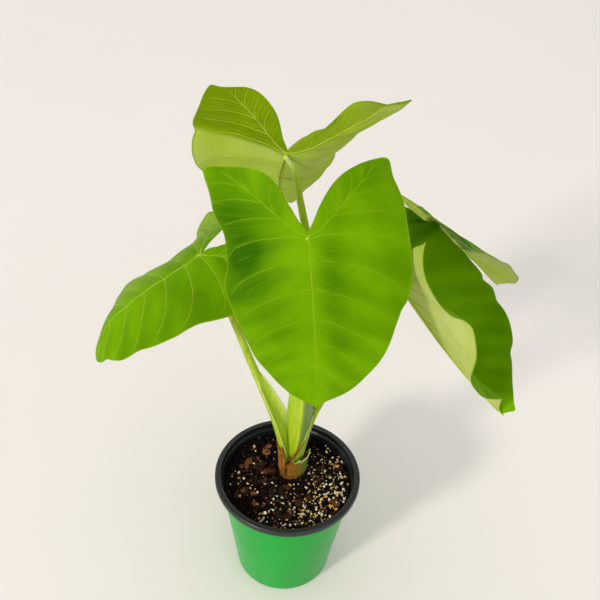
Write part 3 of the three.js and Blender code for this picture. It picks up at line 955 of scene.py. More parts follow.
LEAVES = {
    "front": LeafForm(
        159.0, (4.1, -40.7, 482.3), -76, -54, -13, (33, 13), 1.5, 14, 18,
        HalfForm(1.02, 0.94, 0.045, (-7.5, -3), (-76, -54), (-0.027, 1.14, 0.17), (0.6, 5, 0.1)),
        HalfForm(0.966, 0.885, 0.024, (7.5, 25), (-79, 6), (0.034, 1.12, 0.04), (0.6, 5, 0.4))),
    "top": LeafForm(
        157.5, (-18.5, 62.5, 493.4), 124, -65, -26.5, (-27.5, 15), 41, 42.5, -62.5,
        HalfForm(0.806, 1.013, 0.284, (-20.5, 0), (161, 55), (0.093, 0.964, 0.168), (1.3, 6, 0.2)),
        HalfForm(0.977, 0.967, 0.016, (19.6, 37.4), (-32, 40.5), (-0.021, 1.28, -0.175), (0.9, 5, 0))),
    "left": LeafForm(
        147.4, (-91.9, 35.9, 396.2), -148.5, -28.1, 2.2, (-46.5, 218.5), 4.6, -3.3, 116.2,
        HalfForm(1.085, 0.898, 0.202, (-18.1, -8.9), (-51.3, -17.5), (-0.062, 0.789, 0.217), (1, 6, 0)),
        HalfForm(0.983, 0.957, -0.108, (10.2, 0.8), (-41.5, 29), (0.041, 1.42, -0.179), (0.8, 5, 0.6))),
    "right": LeafForm(
        179.8, (86.8, -6.6, 412.0), -1.8, -56.6, 33.9, (5.6, -37.5), 11.8, -34, -167,
        HalfForm(1.016, 0.746, 0.002, (4.9, 27, 12.2), (-33.3, -15.4, -8.2), (0.06, 1.3, 0.176),
                 (0.6, 5, 0), 0.25),
        HalfForm(0.78, 1.049, 0.287, (25.9, 59.6), (205, -18.5), (0.061, 1.348, 0.995), (1.9, 7, 0.3),
                 0.8)),
    "back": LeafForm(
        160.8, (115.0, 74.6, 428.3), 29, -46.6, 7.3, (15, -26), -4.4, 4.3, 15.8,
        HalfForm(0.83, 0.85, -0.08, (-1, 23), (13, -68), (0.025, 1.04, -0.19), (0.8, 6, 0.5)),
        HalfForm(0.93, 0.74, 0, (-6, 24.6), (-5, -34.5), (0.018, 1.33, -0.07), (0.8, 5, 0.1))),
}


@dataclass(frozen=True)
class VeinPath:
    """A vein of half a blade: way points, the radius at both ends, and the crease above it."""

    way: tuple[Pair, ...]
    radii: Pair
    crease: float
    width: float


def lateral(way: tuple[Pair, ...], start: float = 0.56, crease: float = 1.9) -> VeinPath:
    """A side vein, thinning out towards the margin."""
    return VeinPath(way, (start, 0.3), crease, 6.5)


VEINS = {
    "basal": VeinPath(
        ((0.0, 0.0), (0.06, -0.03), (0.15, -0.12), (0.27, -0.25), (0.36, -0.345), (0.41, -0.395)),
        (1.1, 0.4), 1.5, 5.5),
    "v0": lateral(((0.0, 0.01), (0.12, 0.0), (0.3, 0.01), (0.44, 0.05), (0.5, 0.1)), 0.62),
    "v1": lateral(((0.0, 0.12), (0.14, 0.14), (0.3, 0.19), (0.42, 0.26), (0.48, 0.34)), 0.66),
    "v2": lateral(((0.0, 0.27), (0.13, 0.3), (0.27, 0.36), (0.38, 0.44), (0.44, 0.52)), 0.62),
    "v3": lateral(((0.0, 0.42), (0.11, 0.455), (0.23, 0.52), (0.32, 0.6), (0.365, 0.67)), 0.55),
    "v4": lateral(((0.0, 0.56), (0.09, 0.595), (0.18, 0.655), (0.25, 0.725), (0.275, 0.78)), 0.5),
    "v5": lateral(((0.0, 0.7), (0.06, 0.73), (0.12, 0.78), (0.16, 0.835), (0.17, 0.87)), 0.42, 0.5),
    "v6": lateral(((0.0, 0.82), (0.035, 0.845), (0.065, 0.88), (0.08, 0.92)), 0.36, 0.35),
    "o0": lateral(((0.13, -0.1), (0.25, -0.115), (0.38, -0.11), (0.49, -0.09)), 0.5),
    "o1": lateral(((0.22, -0.2), (0.33, -0.225), (0.43, -0.235), (0.51, -0.23)), 0.46),
    "o2": lateral(((0.3, -0.285), (0.38, -0.32), (0.45, -0.335), (0.505, -0.335)), 0.42, 0.5),
    "i0": lateral(((0.1, -0.075), (0.105, -0.13), (0.09, -0.19)), 0.4, 0.4),
    "i1": lateral(((0.16, -0.135), (0.175, -0.2), (0.165, -0.29)), 0.42, 0.5),
    "i2": lateral(((0.22, -0.195), (0.245, -0.27), (0.24, -0.36)), 0.42, 0.5),
    "i3": lateral(((0.28, -0.26), (0.31, -0.325), (0.31, -0.41)), 0.4, 0.5),
    "i4": lateral(((0.345, -0.33), (0.375, -0.375), (0.38, -0.43)), 0.36, 0.4),
}
FAINT_BETWEEN = (
    ("v0", "v1"), ("v1", "v2"), ("v2", "v3"), ("v3", "v4"), ("v4", "v5"), ("v5", "v6"),
    ("o0", "o1"), ("o1", "o2"), ("i0", "i1"), ("i1", "i2"), ("i2", "i3"), ("i3", "i4"), ("o0", "v0"),
)
MARGIN = np.array([
    (0, -0.02), (0.05, -0.12), (0.11, -0.24), (0.19, -0.345), (0.29, -0.4), (0.4, -0.43),
    (0.485, -0.415), (0.525, -0.34), (0.535, -0.2), (0.535, 0), (0.53, 0.2), (0.485, 0.42),
    (0.395, 0.62), (0.26, 0.8), (0.12, 0.92), (0.035, 0.975), (0, 1.01)])


OUTLINES: dict[str, dict[Side, tuple[Pair, ...]]] = {
    "front": {
        Side.RIGHT: (
            (0, -0.02), (0.03, -0.065), (0.076, -0.158), (0.122, -0.269), (0.183, -0.35),
            (0.268, -0.395), (0.4, -0.421), (0.47, -0.431), (0.508, -0.423), (0.512, -0.38),
            (0.515, -0.274), (0.535, -0.127), (0.524, 0), (0.53, 0.127), (0.534, 0.288),
            (0.503, 0.379), (0.466, 0.451), (0.419, 0.537), (0.384, 0.652), (0.336, 0.725),
            (0.208, 0.856), (0.097, 0.934), (0.035, 0.973), (0, 1.0)),
        Side.LEFT: (
            (0, -0.02), (0.034, -0.087), (0.071, -0.168), (0.128, -0.262), (0.184, -0.323),
            (0.241, -0.363), (0.317, -0.399), (0.4, -0.423), (0.458, -0.434), (0.497, -0.42),
            (0.516, -0.37), (0.531, -0.325), (0.562, -0.245), (0.56, -0.136), (0.544, -0.03),
            (0.532, 0.064), (0.53, 0.229), (0.52, 0.319), (0.504, 0.384), (0.477, 0.42),
            (0.451, 0.485), (0.407, 0.589), (0.363, 0.664), (0.306, 0.725), (0.186, 0.845),
            (0.066, 0.932), (0.025, 0.97), (0, 1.0)),
    },
    "top": {
        Side.RIGHT: (
            (0, -0.02), (0.014, -0.063), (0.038, -0.125), (0.066, -0.167), (0.093, -0.208),
            (0.138, -0.236), (0.169, -0.262), (0.19, -0.293), (0.196, -0.348), (0.203, -0.391),
            (0.23, -0.418), (0.276, -0.431), (0.335, -0.423), (0.388, -0.407), (0.424, -0.398),
            (0.48, -0.408), (0.55, -0.415), (0.552, -0.36), (0.575, -0.25), (0.571, -0.174),
            (0.569, -0.098), (0.556, -0.033), (0.522, 0), (0.51, 0.07), (0.535, 0.17), (0.53, 0.28),
            (0.485, 0.42), (0.44, 0.53), (0.4, 0.62), (0.33, 0.72), (0.25, 0.81), (0.116, 0.925),
            (0.035, 0.975), (0, 1.01)),
        Side.LEFT: (
            (0, -0.02), (0.04, -0.079), (0.075, -0.148), (0.101, -0.219), (0.136, -0.285),
            (0.182, -0.34), (0.223, -0.375), (0.27, -0.401), (0.33, -0.417), (0.402, -0.422),
            (0.475, -0.426), (0.532, -0.438), (0.543, -0.398), (0.544, -0.296), (0.539, -0.148),
            (0.545, 0.012), (0.522, 0.067), (0.528, 0.136), (0.521, 0.23), (0.509, 0.298),
            (0.486, 0.388), (0.4, 0.6), (0.26, 0.8), (0.12, 0.92), (0.035, 0.975), (0, 1.01)),
    },
    "left": {
        Side.RIGHT: (
            (0, -0.02), (0.05, -0.12), (0.11, -0.24), (0.19, -0.36), (0.29, -0.44), (0.38, -0.48),
            (0.437, -0.463), (0.461, -0.4), (0.5, -0.34), (0.535, -0.24), (0.544, -0.129),
            (0.56, -0.066), (0.527, 0.019), (0.506, 0.053), (0.518, 0.093), (0.501, 0.163),
            (0.546, 0.221), (0.537, 0.296), (0.51, 0.4), (0.455, 0.5), (0.395, 0.62), (0.26, 0.8),
            (0.12, 0.92), (0.04, 0.975), (0.015, 1.01), (0, 1.005)),
        Side.LEFT: (
            (0, -0.02), (0.012, -0.072), (0.046, -0.118), (0.06, -0.167), (0.11, -0.24),
            (0.19, -0.345), (0.29, -0.4), (0.4, -0.43), (0.485, -0.415), (0.525, -0.34),
            (0.535, -0.2), (0.535, 0), (0.541, 0.09), (0.529, 0.165), (0.511, 0.244), (0.511, 0.304),
            (0.509, 0.378), (0.478, 0.46), (0.44, 0.533), (0.387, 0.612), (0.367, 0.668),
            (0.345, 0.725), (0.277, 0.784), (0.234, 0.811), (0.188, 0.871), (0.09, 0.95),
            (0.02, 0.985), (0, 1.005)),
    },
    "right": {
        Side.RIGHT: (
            (0, -0.02), (0.05, -0.12), (0.12, -0.24), (0.216, -0.354), (0.329, -0.413),
            (0.425, -0.45), (0.47, -0.43), (0.506, -0.397), (0.53, -0.34), (0.56, -0.28),
            (0.578, -0.23), (0.566, -0.161), (0.54, -0.1), (0.512, -0.05), (0.51, 0), (0.526, 0.03),
            (0.529, 0.082), (0.535, 0.136), (0.537, 0.194), (0.527, 0.248), (0.502, 0.321),
            (0.49, 0.38), (0.466, 0.476), (0.438, 0.529), (0.4, 0.6), (0.345, 0.675), (0.2, 0.8),
            (0.053, 0.922), (0.02, 0.965), (0, 0.985)),
        Side.LEFT: (
            (0, -0.02), (0.05, -0.12), (0.11, -0.24), (0.19, -0.345), (0.25, -0.39), (0.334, -0.414),
            (0.415, -0.414), (0.48, -0.398), (0.527, -0.34), (0.535, -0.2), (0.534, 0),
            (0.532, 0.08), (0.544, 0.118), (0.535, 0.163), (0.532, 0.219), (0.523, 0.262),
            (0.498, 0.291), (0.51, 0.336), (0.49, 0.382), (0.468, 0.419), (0.464, 0.473),
            (0.447, 0.531), (0.424, 0.582), (0.395, 0.63), (0.364, 0.666), (0.323, 0.7),
            (0.294, 0.751), (0.243, 0.824), (0.181, 0.902), (0.125, 0.965), (0.09, 1.01),
            (0.045, 1.0), (0, 0.985)),
    },
}


class BladeSurface:
    """The bent middle surface of a blade, with the creases and ruffles of its veins and margin."""

    FAN = 0.02
    HALF_WIDTH = 0.5
    REACH = 1.02
    REACH_STEPS = 96
    LOBE_REACH = 0.75
    LOBE_STEPS = 48
    ARC_STEPS = 6
    MIDRIB_CREASE = 1.3
    MIDRIB_WIDTH = 6.5
    MIDRIB_END = 1.05
    CREASE_ROUND = 1.5
    CREASE_THINNING = 0.7
    BESIDE_MIDRIB = 0.4
    SPANS = 10
    VEIN_SPANS = 8
    LEAN = 0.42
    SWELL = 0.8
    SWELL_FROM = 30.0
    SWELL_WAVES = (8.5, 13.0, 10.5, 19.0, 5.7)
    RUFFLE_REACH = 11.0
    AT_MIDRIB = 1e-6

    def __init__(self, name: str, form: LeafForm) -> None:
        """Walks the midrib and lays the veins and the margin out flat.

        Args:
            name: The leaf's name, by which its outline is known.
            form: Its form.
        """
        self.form = form
        self.spine = self._walk_both_ways()
        self.flat = {side: self._flat_veins(side) for side in Side}
        plain = catmull(MARGIN, self.SPANS)
        self.roots = np.maximum(self.FAN, plain[:, 1] - self.LEAN * plain[:, 0])
        shares = self._shares(plain)
        self.edges = {}
        for side in Side:
            outline = catmull(np.array(OUTLINES.get(name, {}).get(side, MARGIN)), self.SPANS)
            own = self._shares(outline)
            even = np.stack([np.interp(shares, own, outline[:, k]) for k in range(2)], -1)
            even[0], even[-1] = MARGIN[0], (0, min(outline[-1][1], 1.0))
            self.edges[side] = self.shape(side, even)

    @staticmethod
    def _shares(way: Array) -> Array:
        """How far along a way each of its points lies, as shares of its length."""
        length = np.concatenate([[0], np.cumsum(np.linalg.norm(np.diff(way, axis=0), axis=1))])
        return length / length[-1]

    def _walk(self, sign: int, steps: int, reach: float, bends: tuple[Pair, float, float]) -> list:
        """Frames along the midrib.

        Args:
            sign: 1 towards the tip and -1 back from the petiole.
            steps: Number of strides.
            reach: Length of the walk.
            bends: Droop and its growth, sideways bow and twist, in degrees a blade length.

        Returns:
            Of each frame the way walked, the place, and the directions across and up.
        """
        form = self.form
        heading, pitch, roll = (math.radians(a) for a in (form.heading, form.pitch, form.roll))
        along = np.array([math.cos(pitch) * math.cos(heading), math.cos(pitch) * math.sin(heading),
                          math.sin(pitch)])
        level = np.array([math.sin(heading), -math.cos(heading), 0.0])
        up = np.cross(level, along)
        across = level * math.cos(roll) + up * math.sin(roll)
        up = up * math.cos(roll) - level * math.sin(roll)
        (bend, more), bow, twist = bends
        point = np.array(form.seat)
        frames = [(0.0, point, across, up)]
        stride = reach / steps
        for i in range(steps):
            angle = -sign * math.radians(bend + more * (i + 0.5) * stride) * stride
            point = point + sign * stride * form.length * (
                along * math.cos(angle / 2) + up * math.sin(angle / 2))
            along, up = self._turn(along, up, angle)
            along, across = self._turn(along, across, math.radians(bow) * stride)
            across, up = self._turn(across, up, math.radians(twist) * stride)
            frames.append((sign * (i + 1) * stride, point, across, up))
        return frames

    @staticmethod
    def _turn(a: Array, b: Array, angle: float) -> tuple[Array, Array]:
        """Two crossing directions, turned together from the first towards the second."""
        c, s = math.cos(angle), math.sin(angle)
        return a * c + b * s, b * c - a * s

    def _walk_both_ways(self) -> tuple[Array, ...]:
        """The midrib's frames from behind the lobes to past the tip, as columns."""
        form = self.form
        forth = self._walk(1, self.REACH_STEPS, self.REACH, (form.droop, form.bow, form.twist))
        back = self._walk(-1, self.LOBE_STEPS, self.LOBE_REACH, ((form.lobe_bend, 0.0), 0.0, 0.0))
        frames = back[:0:-1] + forth
        return tuple(np.array(column) for column in zip(*frames))

    def shape(self, side: Side, flat: Array) -> Array:
        """Fits flat places to a half's own width and lobe.

        Args:
            side: Which half.
            flat: Places on the plain blade, u and v last.

        Returns:
            The places on this blade.
        """
        half = self.form.half(side)
        u, v = flat[..., 0], flat[..., 1]
        out = np.sqrt(np.maximum(u, 0) / self.HALF_WIDTH)
        wide = u * half.width + half.spread * np.maximum(-v, 0) * out
        return np.stack([wide, np.where(v < 0, v * half.lobe, v)], -1)

    def bend(self, side: Side, u: Array, v: Array) -> tuple[Array, Array]:
        """Bent places and the directions square to the blade there.

        Args:
            side: Which half.
            u: Distances from the midrib.
            v: Distances along it.

        Returns:
            Places in millimetres, and unit directions towards the upper side.
        """
        half = self.form.half(side)
        where, points, across, up = self.spine
        point, out, up = (
            np.stack([np.interp(v, where, column[:, k]) for k in range(3)], -1)
            for column in (points, across * side.value, up))
        fold, curl = (
            np.radians(np.polynomial.polynomial.polyval(v, terms)) for terms in (half.fold, half.curl))
        x, z = np.zeros_like(u), np.zeros_like(u)
        for i in range(self.ARC_STEPS):
            angle = fold + curl * u * (i + 0.5) / self.ARC_STEPS
            x += np.cos(angle) * u / self.ARC_STEPS
            z += np.sin(angle) * u / self.ARC_STEPS
        height, number, phase = half.wave
        wave = height * (u / self.HALF_WIDTH) ** 2 * np.sin(2 * np.pi * (number * v + phase))
        end = fold + curl * u
        x -= wave * np.sin(end)
        z += wave * np.cos(end)
        square = up * np.cos(end)[..., None] - out * np.sin(end)[..., None]
        size = self.form.length
        return point + out * (x * size)[..., None] + up * (z * size)[..., None], unit(square)

    def _flat_veins(self, side: Side) -> list[tuple[Array, VeinPath]]:
        """The veins of one half, as smooth ways on the flat blade."""
        return [(self.shape(side, catmull(v.way, self.VEIN_SPANS)), v) for v in VEINS.values()]

    def relief(self, side: Side, u: Array, v: Array) -> tuple[Array, Array]:
        """How far the surface is pressed in along its veins.

        Args:
            side: Which half.
            u: Distances from the midrib.
            v: Distances along it.

        Returns:
            The offset towards the upper side, and the distance to the nearest vein, both in
            millimetres.
        """
        size = self.form.length
        places = np.stack([u, v], -1).reshape(-1, 2)
        away = np.hypot(places[:, 0], np.minimum(places[:, 1], 0)) * size
        fade = np.clip(self.MIDRIB_END - places[:, 1], 0, 1)
        dip = self.MIDRIB_CREASE * fade * np.exp(-away / self.MIDRIB_WIDTH)
        near = away.copy()
        for way, vein in self.flat[side]:
            start, step = way[:-1], way[1:] - way[:-1]
            t = np.clip(((places[:, None] - start) * step).sum(-1) / (step ** 2).sum(-1), 0, 1)
            gap = np.linalg.norm(places[:, None] - start - t[..., None] * step, axis=-1) * size
            best = gap.argmin(1)
            rows = np.arange(len(best))
            gap, share = gap[rows, best], (best + t[rows, best]) / len(step)
            depth = vein.crease * self.form.half(side).crease * (1 - self.CREASE_THINNING * share)
            round_ = np.hypot(gap, self.CREASE_ROUND) - self.CREASE_ROUND
            dip = np.maximum(dip, depth * np.exp(-round_ / vein.width))
            near = np.minimum(near, gap + self.BESIDE_MIDRIB)
        lift = self._swell(side, *(places.T * size)) + self._ruffle(side, places)
        return (lift - dip).reshape(u.shape), near.reshape(u.shape)

    def _swell(self, side: Side, x: Array, y: Array) -> Array:
        """Soft, uneven swellings of the blade at flat places in millimetres."""
        a, b, c, d, e = self.SWELL_WAVES
        crossed = np.sin(x / a + y / b + side.value) * np.cos(y / c - x / d)
        return self.SWELL * smoothstep(x, 0, self.SWELL_FROM) * (crossed + 0.5 * np.sin(y / e))

    def room(self, side: Side, places: Array) -> Array:
        """How far inside the margin flat places lie.

        Args:
            side: Which half.
            places: The places, u and v last.

        Returns:
            The distances in millimetres, below 0 outside.
        """
        a = self.edges[side]
        b = np.roll(a, -1, axis=0)
        x, y = places[:, :1], places[:, 1:]
        rise = np.where(b[:, 1] == a[:, 1], 1.0, b[:, 1] - a[:, 1])
        ahead = x < a[:, 0] + (y - a[:, 1]) * (b[:, 0] - a[:, 0]) / rise
        inside = (((a[:, 1] > y) != (b[:, 1] > y)) & ahead).sum(1) % 2 == 1
        gap = np.linalg.norm(places[:, None] - a[None], axis=-1).min(1) * self.form.length
        return np.where(inside | (places[:, 0] < self.AT_MIDRIB), gap, -gap)

    def _ruffle(self, side: Side, places: Array) -> Array:
        """How far the margin's ruffles lift a half.

        Args:
            side: Which half.
            places: Flat places, u and v last.

        Returns:
            The heights in millimetres.
        """
        height, number, phase = self.form.half(side).ruffle
        edge = self.edges[side]
        gap = np.linalg.norm(places[:, None] - edge[None], axis=-1)
        nearest = gap.argmin(1)
        away = gap[np.arange(len(places)), nearest] * self.form.length
        along = nearest / (len(edge) - 1)
        return height * np.exp(-away / self.RUFFLE_REACH) * np.sin(
            2 * np.pi * (number * along + phase)) * np.sin(np.pi * along)

    def laid(self, side: Side, u: Array, v: Array) -> tuple[Array, Array]:
        """Places on the creased surface and the directions square to it."""
        points, square = self.bend(side, u, v)
        return points + square * self.relief(side, u, v)[0][..., None], square

    def seat(self) -> tuple[Array, Array]:
        """The place and the direction of the blade where the petiole meets it."""
        where, points, _, up = self.spine
        point, square = (
            np.array([np.interp(self.FAN, where, column[:, k]) for k in range(3)])
            for column in (points, up))
        return point, unit(square)


MARKS = ("shade", "fine", "lit", "dim", "pale", "reach", "near_vein", "edge")
SIDE_VEIN_SLOPES = ((-0.35, -0.3), (-0.1, 0.0), (0.3, 0.42), (0.8, 0.6))


@dataclass(frozen=True)
class Shade:
    """A soft patch of painted shade on a blade: where it is, how far it reaches both ways, how dark it
    is.
    """

    u: float
    v: float
    wide: float
    long: float
    depth: float

    def at(self, u: Array, v: Array) -> Array:
        """How dark the patch makes places."""
        return self.depth * np.exp(-(((u - self.u) / self.wide) ** 2 + ((v - self.v) / self.long) ** 2))


@dataclass
class LeafBlade:
    """A blade with its net of veins.

    The colour of light shining through is painted into the lobes' inner parts as strongly as lit says,
    and into the whole lobe on the side of lit_lobe. Half the underside has a strip of painted shade, a
    dull blue green, on the side of dim, and the upper face has a painted pale sheen on the side of pale.
    """

    name: str
    form: LeafForm
    finish: LeafFinish
    veins: VeinFinish
    ribs: VeinFinish
    steps: int = 40
    thickness: float = 0.62
    rim: float = 0.34
    proud: Pair = (0.16, 0.06)
    rib_proud: Pair = (0.5, 0.12)
    vein_scale: float = 0.62
    rib_scale: float = 0.9
    vein_sides: int = 7
    midrib: Triple = (1.3, 1.04, 0.3)
    faint: Pair = (0.3, 0.22)
    faint_proud: float = 0.4
    clear: float = 1.6
    lit: dict[Side, float] = field(default_factory=dict)
    lit_lobe: Side | None = None
    dim: Side | None = None
    pale: Side | None = None
    # Painted shade in bands beside the side veins, where the quilted blade is shaded: how dark, how far
    # apart, their phase and where they start.
    quilt_shade: float = 0.25
    quilt_shade_step: float = 3.6
    quilt_shade_phase: float = 1.2
    quilt_shade_from: Pair = (0.02, 0.16)
    lobe_slope: float = 0.1
    # Where the painted light, the strip of painted shade and the painted sheen lie.
    lit_line: Triple = (0.05, 0.0, 0.05)
    dim_line: Triple = (0.86, 0.46, 0.52)
    pale_from: Pair = (0.04, 0.3)
    near_vein: float = 1.1
    edge_from: float = 0.982
    thin_from: float = 0.9
    # Soft patches of painted shade.
    shade: tuple[Shade, ...] = ()
    surface: BladeSurface = field(init=False)

    def __post_init__(self) -> None:
        """Bends the surface."""
        self.surface = BladeSurface(self.name, self.form)

    def half_grid(self, side: Side) -> dict[str, Array]:
        """Places and marks of one half.

        Args:
            side: Which half.

        Returns:
            The values by name, each by rib and by step from the midrib to the margin.
        """
        edge, roots = self.surface.edges[side], self.surface.roots
        share = np.linspace(0, 1, self.steps + 1)
        u = edge[:, :1] * share
        v = roots[:, None] + (edge[:, 1:] - roots[:, None]) * share
        points, square = self.surface.bend(side, u, v)
        offset, near = self.surface.relief(side, u, v)
        reach = np.broadcast_to(share, u.shape)
        slope = np.interp(v, *zip(*SIDE_VEIN_SLOPES))
        basal = np.array(VEINS["basal"].way)
        inner = v < np.interp(u, basal[:, 0], basal[:, 1]) - self.surface.AT_MIDRIB
        fine = np.where(inner, u + self.lobe_slope * v, v - slope * u) * self.form.length
        # Painted shade: dark bands beside the side veins, and the soft patches on top of them.
        folds = 0.5 + 0.5 * np.sin(fine / self.quilt_shade_step + self.quilt_shade_phase * side.value)
        shade = self.quilt_shade * folds * smoothstep(u, *self.quilt_shade_from)
        for patch in self.shade:
            shade = shade + patch.at(u * side.value, v)
        # Painted light through the lobes, and the strip of painted shade under the blade.
        rise, *ends = self.lit_line
        lobe = 1 - smoothstep(v - rise * u, *ends) if side is self.lit_lobe else inner
        fall, *ends = self.dim_line
        dim = (1 - smoothstep(v + fall * u, *ends)) * (side is self.dim)
        return {
            "points": points + square * offset[..., None], "u": u, "v": v, "fine": fine,
            "pale": smoothstep(u, *self.pale_from) * (side is self.pale),
            "shade": np.minimum(shade, 1), "lit": self.lit.get(side, 0.0) * lobe, "dim": dim,
            "reach": reach, "edge": smoothstep(reach, self.edge_from, 1.0),
            "near_vein": np.exp(-near / self.near_vein),
        }

    def weld(self) -> tuple[Array, list[tuple[int, ...]], dict[str, Array], Array]:
        """Both halves joined along the midrib.

        Returns:
            Places, faces, marks by name, and the loop of points round the margin.
        """
        seen: dict[tuple, int] = {}
        points: list[Array] = []
        marks: dict[str, list[float]] = {k: [] for k in MARKS}
        faces: list[tuple[int, ...]] = []
        rims = {}
        for side in Side:
            grid = self.half_grid(side)
            numbers = np.empty(grid["u"].shape, int)
            for i, j in np.ndindex(numbers.shape):
                u, v = grid["u"][i, j], grid["v"][i, j]
                key = (0 if u < 1e-9 else side.value, round(u, 7), round(v, 7))
                if key not in seen:
                    seen[key] = len(points)
                    points.append(grid["points"][i, j])
                    for mark in marks:
                        marks[mark].append(float(grid[mark][i, j]))
                numbers[i, j] = seen[key]
            for i, j in np.ndindex(numbers.shape[0] - 1, numbers.shape[1] - 1):
                face = [numbers[i, j], numbers[i, j + 1], numbers[i + 1, j + 1], numbers[i + 1, j]]
                face = list(dict.fromkeys(face))
                if len(face) > 2:
                    faces.append(tuple(face if side is Side.RIGHT else face[::-1]))
            rims[side] = numbers[:, -1]
        loop = np.concatenate([rims[Side.RIGHT], rims[Side.LEFT][-2:0:-1]])
        return np.array(points), faces, {k: np.array(v) for k, v in marks.items()}, loop

    def blade(self) -> Thing:
        """The blade as a thin closed sheet, thinner at its margin."""
        points, faces, marks, loop = self.weld()
        square = np.zeros_like(points)
        for face in faces:
            a, b, c = points[face[0]], points[face[1]], points[face[2]]
            normal = np.cross(b - a, c - a)
            for i in face:
                square[i] += normal
        square = unit(square)
        inside = 1 - smoothstep(marks["reach"], self.thin_from, 1.0)
        thick = (self.rim + (self.thickness - self.rim) * inside) / 2
        upper = points + square * thick[:, None]
        lower = points - square * thick[:, None]
        far = len(points)
        rim = [(b, a, far + a, far + b) for a, b in zip(loop, np.roll(loop, -1))]
        every = faces + [tuple(far + i for i in face[::-1]) for face in faces] + rim
        both = np.vstack([upper, lower])
        kept = {key: np.tile(value, 2) for key, value in marks.items()}
        kept["under"] = np.repeat([0.0, 1.0], far)
        name = f"leaf_{self.name}"
        mesh = mesh_of(name, both, outward(both, every), kept)
        return place(name, mesh, self.finish.material(), 70.0)

    def strand(self, side: Side, way: Array, radii: Array, proud: float,
               face: int) -> Strand:
        """A vein along one face of the blade, as far as the margin allows.

        Args:
            side: Which half.
            way: Its way on the flat blade.
            radii: The radius at each place.
            proud: How far it stands out of the face at least.
            face: 1 for the upper face and -1 for the lower one.

        Returns:
            The middle line and the radii.
        """
        outside = self.surface.room(side, way) < self.clear
        end = max(int(outside.argmax()) if outside.any() else len(way), 2)
        way, radii = way[:end], radii[:end] * np.linspace(1.0, 0.8, end)
        points, square = self.surface.laid(side, way[:, 0], way[:, 1])
        half = self.thickness / 2
        depth = half + proud - radii
        if face < 0:
            depth = np.maximum(depth, radii - 0.5 * half)
        return points + square * (face * depth)[:, None], radii

    def net(self, strands: Strands, name: str, finish: VeinFinish, face: int, proud: Pair,
            scale: float) -> Thing:
        """The midrib and the veins of one face as round ribs, with faint ones between them.

        Args:
            strands: The tree that makes the ribs.
            name: Name of the piece.
            finish: Its finish.
            face: 1 for the upper face and -1 for the lower one.
            proud: How far the main veins and the side veins stand out.
            scale: A factor on every radius.

        Returns:
            The piece.
        """
        v = np.linspace(0.0, 0.97, 60)
        thick, fading, least = self.midrib
        radii = (thick * (1 - v / fading) + least) * scale
        main, lesser = proud
        t = np.linspace(0.06, 0.92, 14)
        faint = np.linspace(*self.faint, len(t)) * scale
        ways = [self.strand(Side.RIGHT, np.stack([v * 0, v], -1), radii, main, face)]
        for side in Side:
            flat = dict(zip(VEINS, self.surface.flat[side]))
            for key, (way, vein) in flat.items():
                radii = np.linspace(*vein.radii, len(way)) * scale
                ways.append(self.strand(side, way, radii, main if key == "basal" else lesser, face))
            for one, other in FAINT_BETWEEN if face < 0 else ():
                a, b = (np.stack([read_along(flat[key][0][:, k], t) for k in range(2)], -1)
                        for key in (one, other))
                for share in (0.33, 0.66):
                    way = a + (b - a) * share
                    ways.append(self.strand(side, way, faint, lesser * self.faint_proud, face))
        return strands.make(name, ways, finish, self.vein_sides)

    def build(self, strands: Strands) -> None:
        """Makes the blade, the veins on its upper face and the ribs under it."""
        settle(self.blade(), "leaf", f"blade_{self.name}")
        for name, finish, face, proud, scale in (
                ("veins", self.veins, 1, self.proud, self.vein_scale),
                ("ribs", self.ribs, -1, self.rib_proud, self.rib_scale)):
            settle(self.net(strands, f"{name}_{self.name}", finish, face, proud, scale), "leaf")


# The stems

@dataclass(frozen=True)
class PetioleForm:
    """A petiole: way points, the radius at each, and its last stretch square to the blade."""

    path: tuple[Triple, ...]
    radii: tuple[float, ...]
    turn: float
    # Share of the way from which the stem is painted paler towards its end, as painted light.
    pale_from: float = 1.0


PETIOLES = {
    "front": PetioleForm(
        ((5.6, 3.4, 240), (5.6, 2, 280), (6, -4, 340), (5.4, -12, 400)), (4, 4, 3.8, 3.4, 3), 26),
    "top": PetioleForm(
        ((9, 12.6, 240), (8.6, 15, 280), (9, 27, 345), (7.1, 41, 402), (2.3, 46, 422.4),
         (-1.6, 49.6, 437.6), (-5.2, 53, 452.5), (-8.3, 56.2, 466.5), (-11.2, 57.6, 477),
         (-15.0, 58.4, 484)),
        (4, 3.9, 3.7, 3.5, 3.1, 2.6, 2.2, 1.9), 2.5, 0.62),
    "back": PetioleForm(
        ((14.4, 5.6, 240), (18, 6.6, 276), (36, 18, 330), (66, 36, 388)),
        (3.6, 3.8, 3.6, 3.3, 2.9), 26),
    "left": PetioleForm(
        ((-3.2, 7.4, 141), (-4.2, 7.2, 160), (-7.9, 7, 178.4), (-16.3, 7, 214), (-31.5, 9.5, 257.7),
         (-45.2, 14.5, 292.5), (-61.5, 23, 332.8)),
        (3.4, 3.8, 4.2, 4.4, 4, 3.8, 3.5, 3.3, 3.1), 26),
    "right": PetioleForm(
        ((9.6, 18.8, 141), (13, 21.6, 160), (17, 22.8, 181), (22, 21.6, 207), (28, 17.5, 232),
         (36.5, 12.5, 264), (51, 4, 315), (70, -3, 366)),
        (3.4, 3.9, 4.2, 4.4, 4.3, 4, 3.7, 3.3), 26),
}


